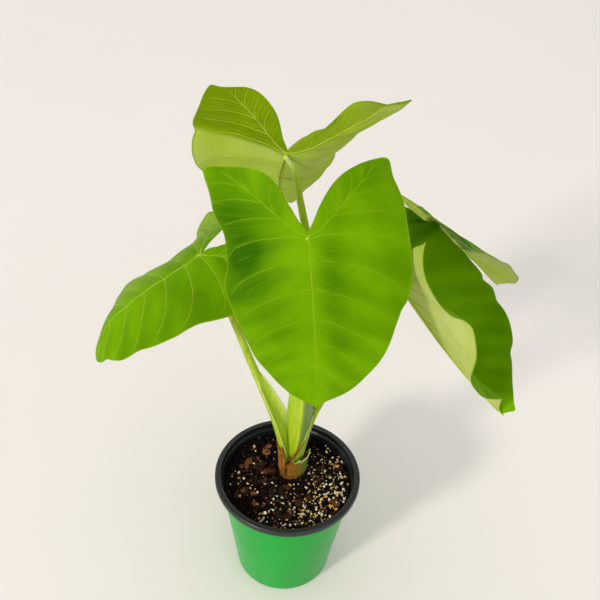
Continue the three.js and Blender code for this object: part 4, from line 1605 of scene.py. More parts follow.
@dataclass
class Petiole:
    """A petiole that runs up into the underside of its blade."""

    name: str
    form: PetioleForm
    blade: BladeSurface
    finish: StemFinish
    per: int = 12
    sides: int = 24
    sunk: float = 2.45
    into: float = 0.9
    tapers: Pair = (0.86, 0.8)
    # How much painted light the stem's end gets, and over what share of its length it comes on.
    pale_most: float = 0.8
    pale_over: float = 0.3

    def curve(self) -> Strand:
        """Places along the petiole and the radius at each."""
        seat, up = self.blade.seat()
        end = seat - up * self.sunk
        points = np.vstack([self.form.path, end - up * self.form.turn, end])
        way = catmull(points, self.per)
        radii = read_along(self.form.radii, np.linspace(0, 1, len(way)))
        tip = [end + up * self.into * s for s in (0.5, 1.0)]
        return np.vstack([way, tip]), np.concatenate([radii, radii[-1] * np.array(self.tapers)])

    def stem(self, strands: Strands) -> Thing:
        """The petiole as a round stem."""
        way, radii = self.curve()
        blank = np.zeros(len(way))
        # Painted light: the stem grows paler towards its end, through the edge mark.
        start = self.form.pale_from
        pale = self.pale_most * smoothstep(np.linspace(0, 1, len(way)), start, start + self.pale_over)
        return strands.make(f"stem_{self.name}", [(way, radii)], self.finish, self.sides,
                            {"bloom_and_shade": blank, "edge": pale, "dry": blank})

    def build(self, strands: Strands) -> None:
        """Makes the stem."""
        settle(self.stem(strands), "petiole", f"petiole_{self.name}")


@dataclass(frozen=True)
class Flange:
    """One side of an open sheath: its direction at the root and at the tip, and its width."""

    start: float
    end: float
    width: float


@dataclass
class SheathedPetiole(Petiole):
    """The left petiole, with an open sheath low down."""

    opens: float = 0.07
    closes: float = 0.573
    near: Flange = Flange(-60, -98, 8.5)
    far: Flange = Flange(20, 8, 14)
    edge: float = 0.42

    def section(self, share: float, radius: float) -> Array:
        """The stem's section.

        Args:
            share: Where it is cut, as a share of the stem's length.
            radius: The stem's own radius there.

        Returns:
            Directions in degrees, radii and edge marks, once round.
        """
        part = float(np.clip((share - self.opens) / (self.closes - self.opens), 0, 1))
        swell = math.sin(math.pi * part) ** 0.8 if 0 < part < 1 else 0.0
        def fin(flange: Flange) -> Triple:
            """Direction, reach and half the thickness in degrees of one flange's edge."""
            reach = max(radius * 1.02, flange.width * swell)
            direction = flange.start + (flange.end - flange.start) * part
            return direction, reach, math.degrees(math.asin(self.edge / reach))
        (a, near, da), (b, far, db) = fin(self.near), fin(self.far)
        middle = (a + b) / 2
        open_ = smoothstep(max(near, far) / radius, 1.02, 1.6)
        root = radius * (1 - 0.12 * open_)
        rows = [
            (a - da, near, open_), (a + da, near, open_),
            (a + da * 1.2 + 3, root + (near - root) * 0.45, 0.3 * open_),
            (middle - 18, radius * (1 - 0.2 * open_), 0), (middle + 18, radius * (1 - 0.2 * open_), 0),
            (b - db * 1.2 - 3, root + (far - root) * 0.45, 0.3 * open_),
            (b - db, far, open_), (b + db, far, open_),
            (b + db * 1.3 + 4, root + (far - root) * 0.4, 0.2 * open_),
            *[(b + db + step, radius, 0) for step in (45, 75, 105, 140, 175, 210)],
            (a - da * 1.3 - 4, root + (near - root) * 0.4, 0.2 * open_),
        ]
        return np.array(rows, float)

    def stem(self, strands: Strands) -> Thing:
        """The stem with its two thin flanges, their edges pale."""
        way, radii = self.curve()
        across, up = swept_frames(way)
        rings, edges, dry = [], [], []
        for i, (point, radius) in enumerate(zip(way, radii)):
            rows = self.section(i / (len(way) - 1), radius)
            angle = np.radians(rows[:, 0])
            local = np.stack([rows[:, 1] * np.cos(angle), rows[:, 1] * np.sin(angle), rows[:, 2]], -1)
            local = catmull(local, 4, closed=True)
            rings.append(point + local[:, :1] * across[i] + local[:, 1:2] * up[i])
            edges.append(np.clip(local[:, 2], 0, 1) ** 2)
            dry.append(np.full(len(local), 1 - smoothstep(point[2], 138, 150)))
        marks = {"edge": np.array(edges), "dry": np.array(dry), "bloom_and_shade": np.zeros_like(edges)}
        return place("stem_left", loft(np.array(rings), marks), self.finish.material(), 75.0)


@dataclass
class Column:
    """The rolled leaf bases in the middle, one lapped over the next."""

    finish: StemFinish
    path: tuple[Triple, ...] = (
        (4.5, 12, 139.5), (6, 11.2, 163), (7.4, 10, 190), (8, 9, 226), (8.4, 8, 258), (8.6, 7.6, 276))
    radii: tuple[float, ...] = (6.8, 8.8, 11, 13.3, 12.2, 9.8)
    sides: int = 96
    per: int = 16
    lap: float = -92.0
    lap_step: float = 0.85
    drift: float = 14.0
    lap_rise: Pair = (352, 359)
    lap_fall: Pair = (0, 340)
    ribs: tuple[Triple, Triple] = ((0.12, 17, 0), (0.08, 29, 4))
    ribs_from: Pair = (0.05, 0.3)
    slant_towards: float = 1.1
    # Painted shade on the side of the column away from the light, in blue green: where it lies round
    # from the lap and, further down, how strong it is.
    bloom_and_shade_span: tuple[Pair, Pair] = ((0, 16), (78, 95))
    pale_line: Pair = (358, 3.5)
    mouth: float = 13.0
    wall: float = 1.1
    slant: float = 4.0
    foot: Pair = (139, 150)
    bloom_and_shade: float = 0.8
    pale: float = 0.2

    def at(self, z: float) -> Triple:
        """Middle and radius at a height."""
        heights = [p[2] for p in self.path]
        x, y = (float(np.interp(z, heights, [p[k] for p in self.path])) for k in (0, 1))
        return x, y, float(np.interp(z, heights, self.radii))

    def ring(self, point: Array, across: Array, up: Array, radius: float,
             share: float, slant: float = 0.0) -> tuple[Array, Array, Array]:
        """One ring of the column, with the step where a leaf base laps over the next.

        Args:
            point: The ring's middle.
            across: The direction that its angles start from.
            up: The direction a quarter turn on.
            radius: Its radius.
            share: How far up the column it is.
            slant: How far its one side is raised.

        Returns:
            The places, and how strongly the painted shade and the pale edge show at each.
        """
        angle = full_turn(self.sides)
        from_lap = (np.degrees(angle) - self.lap - self.drift * share) % 360
        laps = smoothstep(from_lap, *self.lap_rise) + 1 - smoothstep(from_lap, *self.lap_fall)
        step = self.lap_step * laps
        ribs = sum(depth * np.cos(number * angle + turn * share) for depth, number, turn in self.ribs)
        size = (radius - self.lap_step + step + ribs * smoothstep(share, *self.ribs_from))[:, None]
        ring = point + size * (np.cos(angle)[:, None] * across + np.sin(angle)[:, None] * up)
        ring[:, 2] += slant * np.cos(angle - self.slant_towards)
        # Painted shade in blue green on the shaded side.
        low, high = self.bloom_and_shade_span
        bloom_and_shade = smoothstep(from_lap, *low) * (1 - smoothstep(from_lap, *high)) * self.bloom_and_shade
        middle, width = self.pale_line
        pale = np.exp(-((from_lap - middle) / width) ** 2) * self.pale
        return ring, bloom_and_shade, pale

    def build(self) -> None:
        """Makes the column, its open mouth and its brown foot."""
        way = catmull(np.array(self.path, float), self.per)
        across, up = swept_frames(way)
        share = np.linspace(0, 1, len(way))
        radii = read_along(self.radii, share)
        rows = [self.ring(way[i], across[i], up[i], radii[i], share[i],
                          self.slant * smoothstep(share[i], 0.75, 1.0)) for i in range(len(way))]
        last = len(way) - 1
        for depth, inset in ((0.0, 0.6), (1.0, 1.0), (0.5 * self.mouth, 1.4), (self.mouth, 2.2)):
            rows.append(self.ring(way[last] - (0, 0, depth), across[last], up[last],
                                  radii[-1] - self.wall * inset, 1.0, self.slant))
        rings, bloom_and_shade, edge = (np.array(column) for column in zip(*rows))
        edge[last:last + 2] = 1.0
        marks = {"bloom_and_shade": bloom_and_shade, "edge": edge, "dry": 1 - smoothstep(rings[..., 2], *self.foot)}
        piece = place("rolled_leaf_bases", loft(rings, marks), self.finish.material(), 60.0)
        settle(piece, "petiole", "leaf_base_column")


@dataclass
class Wrap:
    """The sheath of the right petiole, wrapped round the column, with a torn brown edge."""

    column: Column
    finish: StemFinish
    husk: HuskFinish
    bottom: float = 155.0
    top: float = 222.0
    clear: float = 0.4
    thickness: float = 1.0
    edge_low: float = -118.0
    edge_high: float = -14.0
    back: float = 62.0
    rows: int = 64
    columns: int = 40
    edge_thickness: float = 0.35
    thin_to: float = 0.35
    pale_to: float = 0.05
    dry_to: float = 0.12
    bloom_and_shade: float = 0.35
    torn_lift: float = 1.1
    torn_span: Pair = (-0.05, 0.06)
    torn_rows: int = 48
    torn_kept: int = 26
    torn_columns: int = 8
    torn_curl: float = 1.6
    torn_depth: Triple = (0.25, -0.25, 0.0)

    def grid(self, lift: float, first: float, last: float, rows: int, columns: int,
             ragged: Callable[[float], float] | None = None) -> Array:
        """Places round the column.

        Args:
            lift: Distance outside the sheath's inner face.
            first: Share of the way round where the grid starts.
            last: Share where it ends.
            rows: Rows up the sheath.
            columns: Columns round it.
            ragged: How far the first column is pushed on, by height.

        Returns:
            Places by row and by column.
        """
        out = np.empty((rows + 1, columns + 1, 3))
        for r in range(rows + 1):
            share = r / rows
            z = self.bottom + (self.top - self.bottom) * share
            x, y, radius = self.column.at(z)
            edge = self.edge_low + (self.edge_high - self.edge_low) * share ** 0.8
            push = ragged(share) if ragged else 0.0
            around = np.linspace(first, last, columns + 1)
            around = around + push * (1 - np.linspace(0, 1, columns + 1))
            angle = np.radians(edge + (self.back - edge) * around)
            out[r] = places_round(radius + self.clear + lift, angle, z, (x, y))
        return out

    def away(self, grid: Array) -> Array:
        """Level directions from the column's middle to the places of a grid."""
        middle = np.array([(*self.column.at(z)[:2], z) for z in grid[:, 0, 2]])
        return unit(grid - middle[:, None])

    def build(self) -> None:
        """Makes the sheath and its torn edge."""
        self.wrapped()
        self.torn()

    def wrapped(self) -> None:
        """Makes the sheath, thin and pale at its open edge."""
        inner = self.grid(0.0, 0.0, 1.0, self.rows, self.columns)
        around = np.linspace(0, 1, self.columns + 1)[None, :]
        height = np.linspace(0, 1, self.rows + 1)[:, None]
        thin = self.edge_thickness + (self.thickness - self.edge_thickness) * smoothstep(
            around, 0.0, self.thin_to)
        outer = inner + self.away(inner) * thin[..., None]
        # The blue green is strongest at the open edge and fades round to the back.
        marks = {"edge": np.exp(-around / self.pale_to) * smoothstep(height, 0.1, 0.5),
                 "bloom_and_shade": self.bloom_and_shade * (1 - around) + 0 * height,
                 "dry": (1 - smoothstep(around, 0.0, self.dry_to)) * (1 - smoothstep(height, 0.2, 0.5))}
        sheath = place("sheath_right", plate(inner, outer, marks), self.finish.material(), 75.0)
        settle(sheath, "petiole", "petiole_right")

    def torn(self) -> None:
        """Makes the dry flake that curls off the open edge."""
        flake = self.grid(self.torn_lift, *self.torn_span, self.torn_rows, self.torn_columns,
                          lambda share: 0.035 * math.sin(37 * share) * math.sin(91 * share + 1))
        flake = flake[:self.torn_kept]
        curl = self.torn_curl * np.linspace(1, 0, self.torn_columns + 1)[None, :, None] ** 2
        flake = flake + self.away(flake) * curl
        mesh = plate(flake, flake + self.torn_depth)
        settle(place("torn_sheath_edge", mesh, self.husk.material(), 75.0), "dry_sheath")


@dataclass
class LeafRemains:
    """Short remains round the corm's top, ragged along their upper edge."""

    name: str
    node: str
    slot: str
    finish: Finish
    span: Pair
    height: Pair
    lean: float
    notch: float
    inner: float = 14.5
    centre: Pair = (4.4, 12.0)
    wander: float = 2.6
    phase: float = 0.8
    shoulder: float = 10.0
    old_columns: int = 10
    thickness: float = 0.6
    rows: int = 36
    columns: int = 90
    wrinkle: float = 0.5
    dry_to: float = 0.0
    fray: float = 0.9
    flare: float = 0.25
    thinning: float = 0.55
    green_spared: float = 0.55
    bloom_and_shade: float = 0.9

    def build(self) -> None:
        """Makes the remnant with its wrinkles and torn edge."""
        part = np.linspace(0, 1, self.columns + 1)[None, :]
        rise = np.linspace(0, 1, self.rows + 1)[:, None]
        angle = np.radians(self.span[0] + (self.span[1] - self.span[0]) * part)
        bottom, top = self.height
        ragged = self.notch * (0.5 + 0.5 * np.cos(self.wander * part * self.old_columns + self.phase))
        fray = self.fray * np.sin(61 * part) * np.sin(23 * part + 1)
        z = bottom + (top - ragged - self.shoulder * (2 * part - 1) ** 4 + fray - bottom) * rise
        share = (z - bottom) / (top - bottom)
        folds = np.sin(24 * part + 3 * share) + 0.6 * np.sin(53 * part - 5 * share)
        reach = self.inner + self.lean * share ** 2 + self.wrinkle * folds * share
        reach = reach + self.flare * self.lean * smoothstep(rise, 0.8, 1.0)
        thin = self.thickness * (1 - self.thinning * smoothstep(rise, 0.6, 1.0))
        green = smoothstep(part, 0.1, 0.42)
        edge = dry = 0 * share
        if self.dry_to:
            edge = smoothstep(rise + 0 * part, 0.86, 0.97)
            low = 1 - smoothstep(share, self.dry_to * 0.8, self.dry_to)
            # The brown shows less strongly over the green part, darkening it toward olive.
            dry = low * (1 - self.green_spared * green)
        # Blue green of the waxy coat and painted shade over the green part, below its top.
        bloom_and_shade = self.bloom_and_shade * green * (1 - smoothstep(rise, 0.7, 0.9))
        marks = {"edge": edge, "dry": dry, "bloom_and_shade": bloom_and_shade}
        faces = (places_round(reach + out, angle, z, self.centre) for out in (0.0, thin))
        piece = place(self.name, plate(*faces, marks), self.finish.material(), 70.0)
        settle(piece, self.slot, self.node)


@dataclass
class Corm:
    """The brown stub that carries the leaves, ringed with scars and clad in fibres."""

    finish: HuskFinish
    fibres: HuskFinish
    centre: Pair = (4.4, 12.0)
    profile: tuple[Pair, ...] = (
        (0, 96), (8, 96), (12, 106), (12.4, 127), (13.6, 138), (14.2, 146), (13, 150), (0, 151))
    sides: int = 96
    rows: int = 70
    lumps: tuple[Triple, Triple] = ((0.55, 6.0, 3.0), (0.3, 2.2, 9.0))
    scar_depth: float = 0.35
    scars: float = 1.9
    shrink: float = 0.3
    smooth_radius: float = 6.0
    least_radius: float = 0.05
    count: int = 150
    fibre_foot: Pair = (125, 137)
    fibre_top: Pair = (138, 152)
    fibre_reach: float = 13.7
    fibre_bulge: float = 0.8
    fibre_radii: Pair = (0.1, 0.26)
    fibre_steps: int = 10
    seed: int = 11

    def rings(self) -> Array:
        """Rings up the corm, lumpy and scarred."""
        outline = np.array(rounded(self.profile, 2.5))[1:-1]
        length = np.concatenate([[0], np.cumsum(np.linalg.norm(np.diff(outline, axis=0), axis=1))])
        even = np.linspace(0, length[-1], self.rows)
        radius, z = (np.interp(even, length, outline[:, k])[:, None] for k in (0, 1))
        angle = full_turn(self.sides)
        flat = places_round(radius, angle, z).reshape(-1, 3)
        coarse, fine = (height * rolling(flat, scale, seed) for height, scale, seed in self.lumps)
        scars = self.scar_depth * np.sin(flat[:, 2] * self.scars)
        push = (coarse + fine + scars - self.shrink).reshape(len(radius), -1)
        size = radius + push * np.minimum(1, radius / self.smooth_radius)
        return places_round(np.maximum(size, self.least_radius), angle, z, self.centre)

    def build(self, strands: Strands) -> None:
        """Makes the corm and the fibres round it."""
        settle(place("corm_stub", loft(self.rings()), self.finish.material(), 80.0), "corm", "corm")
        draw = np.random.default_rng(self.seed)
        ways = []
        t = np.linspace(0, 1, self.fibre_steps)
        for _ in range(self.count):
            start = draw.uniform(0, 2 * np.pi)
            low, high = draw.uniform(*self.fibre_foot), draw.uniform(*self.fibre_top)
            angle = start + draw.uniform(-0.5, 0.5) * t + 0.05 * np.sin(9 * t + start)
            reach = self.fibre_reach + self.fibre_bulge * np.sin(math.pi * t) * draw.uniform(0.2, 1.0)
            reach = reach + max(0.0, draw.normal(0, 1.0)) * t ** 3
            way = places_round(reach, angle, low + (high - low) * t, self.centre)
            ways.append((way, draw.uniform(*self.fibre_radii) * (1 - 0.6 * t)))
        settle(strands.make("corm_fibres", ways, self.fibres, 5), "dry_sheath")


# The pot and what fills it

@dataclass
class Pot:
    """The nursery pot: a green outer wall and a black inner one with a turned-down rim."""

    green: PotFinish
    black: PotFinish
    height: float = 138.0
    rim_radius: float = 76.0
    rim_width: float = 6.2
    rim_drop: float = 6.0
    rim_round: float = 1.4
    neck: float = 3.0
    foot_radius: float = 50.5
    shoulder_radius: float = 69.5
    wall: float = 0.9
    gap: float = 0.3
    foot_chamfer: float = 1.0
    holes: int = 8
    hole_radius: float = 4.5
    hole_circle: float = 34.0
    hole_sides: int = 32
    drill: Pair = (-5, 8)
    smooth_under: float = 40.0
    sides: int = 192
    notch: float = 1.3
    notch_width: float = 4.5
    notch_every: float = 45.0
    notch_reach: Pair = (1.2, 0.7)

    def outer(self, z: float) -> float:
        """Radius of the green wall's outside at a height."""
        return self.foot_radius + (self.shoulder_radius - self.foot_radius) * z / self.ledge

    def liner(self, z: float) -> float:
        """Radius of the black wall's outside at a height."""
        return self.outer(z) - self.wall - self.gap

    @property
    def ledge(self) -> float:
        """Height of the rim's lower edge."""
        return self.height - self.rim_drop

    @property
    def floor(self) -> float:
        """Height of the black floor's underside."""
        return self.wall + self.gap

    def drained(self, name: str, profile: Sequence[Pair], material: Material,
                notched: bool) -> Thing:
        """A lathed wall with its drain holes cut through the floor.

        Args:
            name: Name of the piece.
            profile: Corners of radius and height.
            material: Its finish.
            notched: Whether its foot has small drain notches.

        Returns:
            The piece.
        """
        mesh = lathe(profile, self.sides)
        if notched:
            up, inwards = self.notch_reach
            for vertex in mesh.vertices:
                x, y, z = vertex.co / MM
                if z < up and math.hypot(x, y) > self.foot_radius - inwards:
                    turn = math.degrees(math.atan2(y, x))
                    angle = turn % self.notch_every - self.notch_every / 2
                    away = math.radians(angle) * self.foot_radius / self.notch_width
                    vertex.co.z += self.notch * MM * math.exp(-away ** 4)
        piece = place(name, mesh, material, self.smooth_under)
        drills = []
        for i in range(self.holes):
            angle = 2 * math.pi * (i + 0.5) / self.holes
            middle = (self.hole_circle * math.cos(angle), self.hole_circle * math.sin(angle))
            rings = [places_round(self.hole_radius, full_turn(self.hole_sides), z, middle)
                     for z in self.drill]
            drill = place(f"drill_{i}", loft(np.array(rings)), material)
            cut = piece.modifiers.new(drill.name, "BOOLEAN")
            cut.operation, cut.object, cut.solver = "DIFFERENCE", drill, "EXACT"
            drills.append(drill)
        seen = piece.evaluated_get(bpy.context.evaluated_depsgraph_get())
        cut_mesh = bpy.data.meshes.new_from_object(seen)
        piece.modifiers.clear()
        piece.data = cut_mesh
        cut_mesh.name = name
        for drill in drills:
            bpy.data.objects.remove(drill)
        cut_mesh.shade_smooth()
        cut_mesh.set_sharp_from_angle(angle=math.radians(self.smooth_under))
        return piece

    def build(self) -> None:
        """Makes both walls."""
        wall, edge, chamfer = self.wall, self.ledge - self.wall, self.foot_chamfer
        shell = [
            (0, 0), (self.foot_radius - chamfer, 0), (self.outer(chamfer), chamfer),
            (self.outer(edge), edge), (self.outer(edge) - wall, edge),
            (self.outer(wall) - wall, wall), (0, wall)]
        green = self.drained("pot_green_wall", rounded(shell, 0.8), self.green.material(), True)
        settle(green, "pot_green", "pot_wall")
        top, mouth = self.height, self.rim_radius - self.rim_width
        inner, under, seat = self.rim_radius - wall, top - wall, self.ledge - wall + self.gap
        low, floor = self.ledge - self.neck, self.floor + wall
        lip = [
            (0, self.floor), (self.liner(self.floor), self.floor), (self.liner(low), low),
            (self.liner(self.ledge), seat), (mouth + wall / 2, seat), (mouth + wall, under),
            (inner - self.rim_round / 2, under), (inner, under - self.rim_round / 2),
            (inner, self.ledge), (self.rim_radius, self.ledge),
            (self.rim_radius, top - self.rim_round), (self.rim_radius - self.rim_round, top),
            (mouth, top), (mouth - self.gap, self.ledge + self.rim_round),
            (self.liner(self.ledge) - wall, seat - wall), (self.liner(low) - wall, low - wall),
            (self.liner(floor) - wall, floor), (0, floor)]
        black = self.drained("pot_black_wall", rounded(lip, 1.1), self.black.material(), False)
        settle(black, "pot_black", "pot_liner")


@dataclass
class PottingMix:
    """Dark compost with bark chips, pale grains, crumbs and fine roots on it."""

    pot: Pot
    earth: EarthFinish
    crumb: LumpFinish
    bark: LumpFinish
    grain: LumpFinish
    root: HuskFinish
    top: float = 126.5
    unevenness: float = 1.2
    waves: Pair = (17, 14)
    slack: float = 0.5
    chips: int = 70
    chip_size: Pair = (3.3, 7.7)
    chip_height: Pair = (0.9, 2.2)
    chip_edge: float = 1.6
    seed: int = 7
    crumbs: int = 3400
    heaped: int = 260
    grains: int = 1968
    roots: int = 26
    root_steps: int = 12
    root_stride: float = 1.6
    root_radii: Pair = (0.15, 0.32)
    wall_specks: int = 34
    rim_specks: int = 22
    rings: int = 70
    crumble: Triple = (0.8, 3.2, 5.0)
    flat_top: float = 0.62
    inset: float = 1.5
    stretch: Pair = (0.75, 1.3)
    tilt: float = 0.5
    raised: float = 0.25
    heap_out: Pair = (0.6, 3.6)
    heap_rise: Pair = (1.5, 4.0)
    heap_fall: float = 5.0
    heap_sizes: Pair = (0.8, 1.9)
    heap_stretch: Pair = (0.8, 1.2)
    heap_tint: float = 0.85
    chips_left: Triple = (0.3, -35, 25)
    chip_chance: Pair = (0.35, 0.65)
    chip_across: Pair = (0.75, 1.0)
    chip_narrow: Pair = (0.5, 0.8)
    chip_thick: float = 1.3
    chip_tilt: float = 0.35
    chip_lift: float = 0.2
    root_inset: Pair = (16, 12)
    root_bend: float = 0.3
    root_wander: float = 0.15
    root_lift: Pair = (0.3, 0.9)
    root_least: int = 4
    speck_heights: Pair = (6, 128)
    wall_speck_sizes: Pair = (0.25, 0.7)
    rim_speck_sizes: Pair = (0.25, 0.6)
    speck_flat: Pair = (0.5, 0.6)
    speck_tint: float = 0.5
    centre: Pair = (4.4, 12.0)
    clear: float = 13.2
    spots: list[tuple[float, float, float, float]] = field(init=False)

    def __post_init__(self) -> None:
        """Draws the chips' places as the source does."""
        state = self.seed
        def random() -> float:
            """An even random number from 0 to 1, the same each time."""
            nonlocal state
            state = (state * 16807) % 2147483647
            return state / 2147483647
        self.spots = []
        for _ in range(self.chips):
            angle = 2 * math.pi * random()
            reach = self.radius * math.sqrt(random())
            size = self.chip_size[0] + (self.chip_size[1] - self.chip_size[0]) * random()
            height = self.chip_height[0] + (self.chip_height[1] - self.chip_height[0]) * random()
            self.spots.append((reach * math.cos(angle), reach * math.sin(angle), size, height))

    @property
    def radius(self) -> float:
        """Radius of the mix's surface."""
        return self.pot.liner(self.top) - self.pot.wall - self.slack

    def height(self, x: Array, y: Array) -> Array:
        """Height of the surface at places on it."""
        roll = self.unevenness * (np.sin(x / self.waves[0]) * np.cos(y / self.waves[1]) - 1)
        chip = np.zeros_like(roll)
        for cx, cy, size, high in self.spots:
            away = np.hypot(x - cx, y - cy) / size
            chip = np.maximum(chip, high * smoothstep(self.chip_edge - away))
        return self.top + roll + chip

    def body(self) -> Mesh:
        """The mix as a closed body, its surface crumbly."""
        floor = self.pot.floor + self.pot.wall + self.pot.gap
        turn = full_turn(self.pot.sides)
        rings = [places_round(self.pot.liner(floor) - self.pot.wall - self.slack, turn, floor)]
        most, scale, seed = self.crumble
        for i in range(self.rings, 0, -1):
            ring = places_round(self.radius * i / self.rings, turn, 0.0)
            rough = rolling(ring, scale, seed) * most
            ring[:, 2] = self.height(ring[:, 0], ring[:, 1]) + rough * (i < self.rings)
            rings.append(ring)
        return loft(np.array(rings))

    def off_corm(self, x: Array, y: Array) -> Array:
        """How far places are from the corm's middle."""
        return np.hypot(x - self.centre[0], y - self.centre[1])

    def strewn(self, count: int, draw: np.random.Generator, sizes: Pair, flat: float,
               weight: Callable[[Array, Array], Array] | None = None) -> Spots:
        """Spots strewn over the surface.

        Args:
            count: How many to draw.
            draw: The random numbers.
            sizes: Smallest and largest radius.
            flat: Height of a copy as a share of its width.
            weight: Chance from 0 to 1 that a spot is kept, by place.

        Returns:
            The spots, none of them in the corm.
        """
        angle = draw.uniform(0, 2 * np.pi, count)
        reach = (self.radius - self.inset) * np.sqrt(draw.uniform(0, 1, count))
        x, y = reach * np.cos(angle), reach * np.sin(angle)
        size = sizes[0] + (sizes[1] - sizes[0]) * draw.uniform(0, 1, count) ** 2
        stretch = draw.uniform(*self.stretch, (count, 3)) * [1, 1, flat]
        tilts = [draw.uniform(-self.tilt, self.tilt, count) for _ in range(2)]
        turns = np.stack([*tilts, draw.uniform(0, 2 * np.pi, count)], -1)
        spots = Spots(np.stack([x, y, self.height(x, y) + self.raised * size * flat], -1),
                      size[:, None] * stretch, turns, draw.uniform(0, 1, count))
        keep = self.off_corm(x, y) > self.clear + 1
        if weight:
            keep &= draw.uniform(0, 1, count) < weight(x, y)
        return spots.where(keep)

    def heap(self, draw: np.random.Generator) -> Spots:
        """Crumbs heaped against the plant's foot, highest at the front right.

        Args:
            draw: The random numbers.

        Returns:
            The crumbs' places, sizes, turns and tints.
        """
        angle = draw.uniform(0, 2 * np.pi, self.heaped)
        reach = self.clear + draw.uniform(*self.heap_out, self.heaped)
        x, y = (c + reach * turn(angle) for c, turn in zip(self.centre, (np.cos, np.sin)))
        least, more = self.heap_rise
        front = smoothstep(np.cos(angle + 0.7), 0.1, 0.9)
        rise = draw.uniform(0, 1, self.heaped) * (least + more * front)
        z = self.height(x, y) + rise * (1 - (reach - self.clear) / self.heap_fall)
        size = draw.uniform(*self.heap_sizes, (self.heaped, 1))
        size = size * draw.uniform(*self.heap_stretch, (self.heaped, 3))
        turns = draw.uniform(0, 6, (self.heaped, 3))
        tints = draw.uniform(0, self.heap_tint, self.heaped)
        return Spots(np.stack([x, y, z], -1), size, turns, tints)

    def ball(self, name: str, divisions: int, squash: float = 1.0) -> Thing:
        """A small faceted ball, 1 mm in radius, that copies are made of.

        Args:
            name: Its name.
            divisions: How finely it is divided.
            squash: How high its flat top is, as a share of the usual height.

        Returns:
            The ball.
        """
        maker = Growth(name, Size="Float", Fineness="Int")
        ball = maker.wire.add("GeometryNodeMeshIcoSphere", {
            "Radius": maker.given["Size"], "Subdivisions": maker.given["Fineness"]})
        maker.close(ball.outputs[0])
        shape = maker.grow(
            name, bpy.data.meshes.new(name), self.earth, Size=MM, Fineness=divisions)
        most = self.flat_top * MM * squash
        for vertex in shape.data.vertices:
            vertex.co.z = max(min(vertex.co.z, most), -most)
        return shape

    def chip_spots(self, draw: np.random.Generator) -> Spots:
        """A bark chip on each place where the surface stands up, most of them on the left.

        Args:
            draw: The random numbers.

        Returns:
            The chips' places, sizes, turns and tints.
        """
        rows = []
        turned, *ends = self.chips_left
        least, more = self.chip_chance
        for x, y, size, high in self.spots:
            chance = least + more * smoothstep(-x + turned * y, *ends)
            if self.off_corm(x, y) < self.clear + size * 0.7:
                continue
            if math.hypot(x, y) > self.radius - size * 0.8 or draw.uniform() > chance:
                continue
            z = float(self.height(np.array(x), np.array(y))) + self.chip_lift
            wide = size * draw.uniform(*self.chip_across)
            narrow = wide * draw.uniform(*self.chip_narrow)
            tilts = [draw.uniform(-self.chip_tilt, self.chip_tilt) for _ in range(2)]
            turns = (*tilts, draw.uniform(0, 6.3))
            rows.append(((x, y, z), (wide, narrow, high * self.chip_thick), turns, draw.uniform(0, 1)))
        places, sizes, turns, tints = (np.array(column) for column in zip(*rows))
        return Spots(places, sizes, turns, tints)

    def root_ways(self, draw: np.random.Generator) -> list[Strand]:
        """Fine roots that lie on the surface in loose curves.

        Args:
            draw: The random numbers.

        Returns:
            The way of each root, with its radius at each place.
        """
        ways = []
        inner, outer = self.root_inset
        for _ in range(self.roots):
            angle, reach = draw.uniform(0, 2 * np.pi), draw.uniform(inner, self.radius - outer)
            heading, bend = draw.uniform(0, 2 * np.pi), draw.uniform(-self.root_bend, self.root_bend)
            x, y = reach * math.cos(angle), reach * math.sin(angle)
            way = []
            for _ in range(self.root_steps):
                x += self.root_stride * math.cos(heading)
                y += self.root_stride * math.sin(heading)
                heading += bend + draw.normal(0, self.root_wander)
                if math.hypot(x, y) < self.radius - 2 and self.off_corm(x, y) > self.clear:
                    lift = float(self.height(np.array(x), np.array(y)))
                    way.append((x, y, lift + draw.uniform(*self.root_lift)))
            if len(way) > self.root_least:
                ways.append((np.array(way), np.full(len(way), draw.uniform(*self.root_radii))))
        return ways

    def build(self, scatter: Scatter, strands: Strands) -> None:
        """Makes the compost and everything that lies on it.

        Args:
            scatter: The tree that copies small shapes.
            strands: The tree that makes the roots.
        """
        body = place("compost", self.body(), self.earth.material(), 80.0)
        settle(body, "potting_mix", "potting_mix")
        draw = np.random.default_rng(self.seed)
        small, fine = self.ball("crumb_shape", 1), self.ball("grain_shape", 2)
        slab = self.ball("chip_shape", 3, 0.8)
        crumbs = self.strewn(self.crumbs, draw, sizes=(0.6, 2.2), flat=0.75)
        settle(scatter.make("crumbs", crumbs, small, self.crumb, lumps=700.0, height=1.1, seed=1.0),
               "potting_mix")
        def front_right(x: Array, y: Array) -> Array:
            """More grains towards the front right."""
            return 0.07 + 0.93 * smoothstep(0.85 * x - 0.5 * y, -12, 42)
        grains = self.strewn(self.grains, draw, sizes=(0.55, 1.5), flat=0.95, weight=front_right)
        settle(scatter.make("pale_grains", grains, fine, self.grain, lumps=500.0, height=0.25, seed=4.0),
               "potting_mix")
        chips = self.chip_spots(draw)
        settle(scatter.make("bark_chips", chips, slab, self.bark, lumps=190.0, height=2.6, seed=8.0),
               "potting_mix")
        settle(strands.make("fine_roots", self.root_ways(draw), self.root, sides=5), "potting_mix")
        specks = self.specks(draw)
        settle(scatter.make("soil_specks", specks, small, self.crumb, lumps=700.0, height=0.3, seed=2.0),
               "potting_mix")
        heap = self.heap(draw)
        settle(scatter.make("heaped_crumbs", heap, small, self.crumb, lumps=700.0, height=1.1, seed=3.0),
               "potting_mix")
        for shape in (small, fine, slab):
            bpy.data.objects.remove(shape)

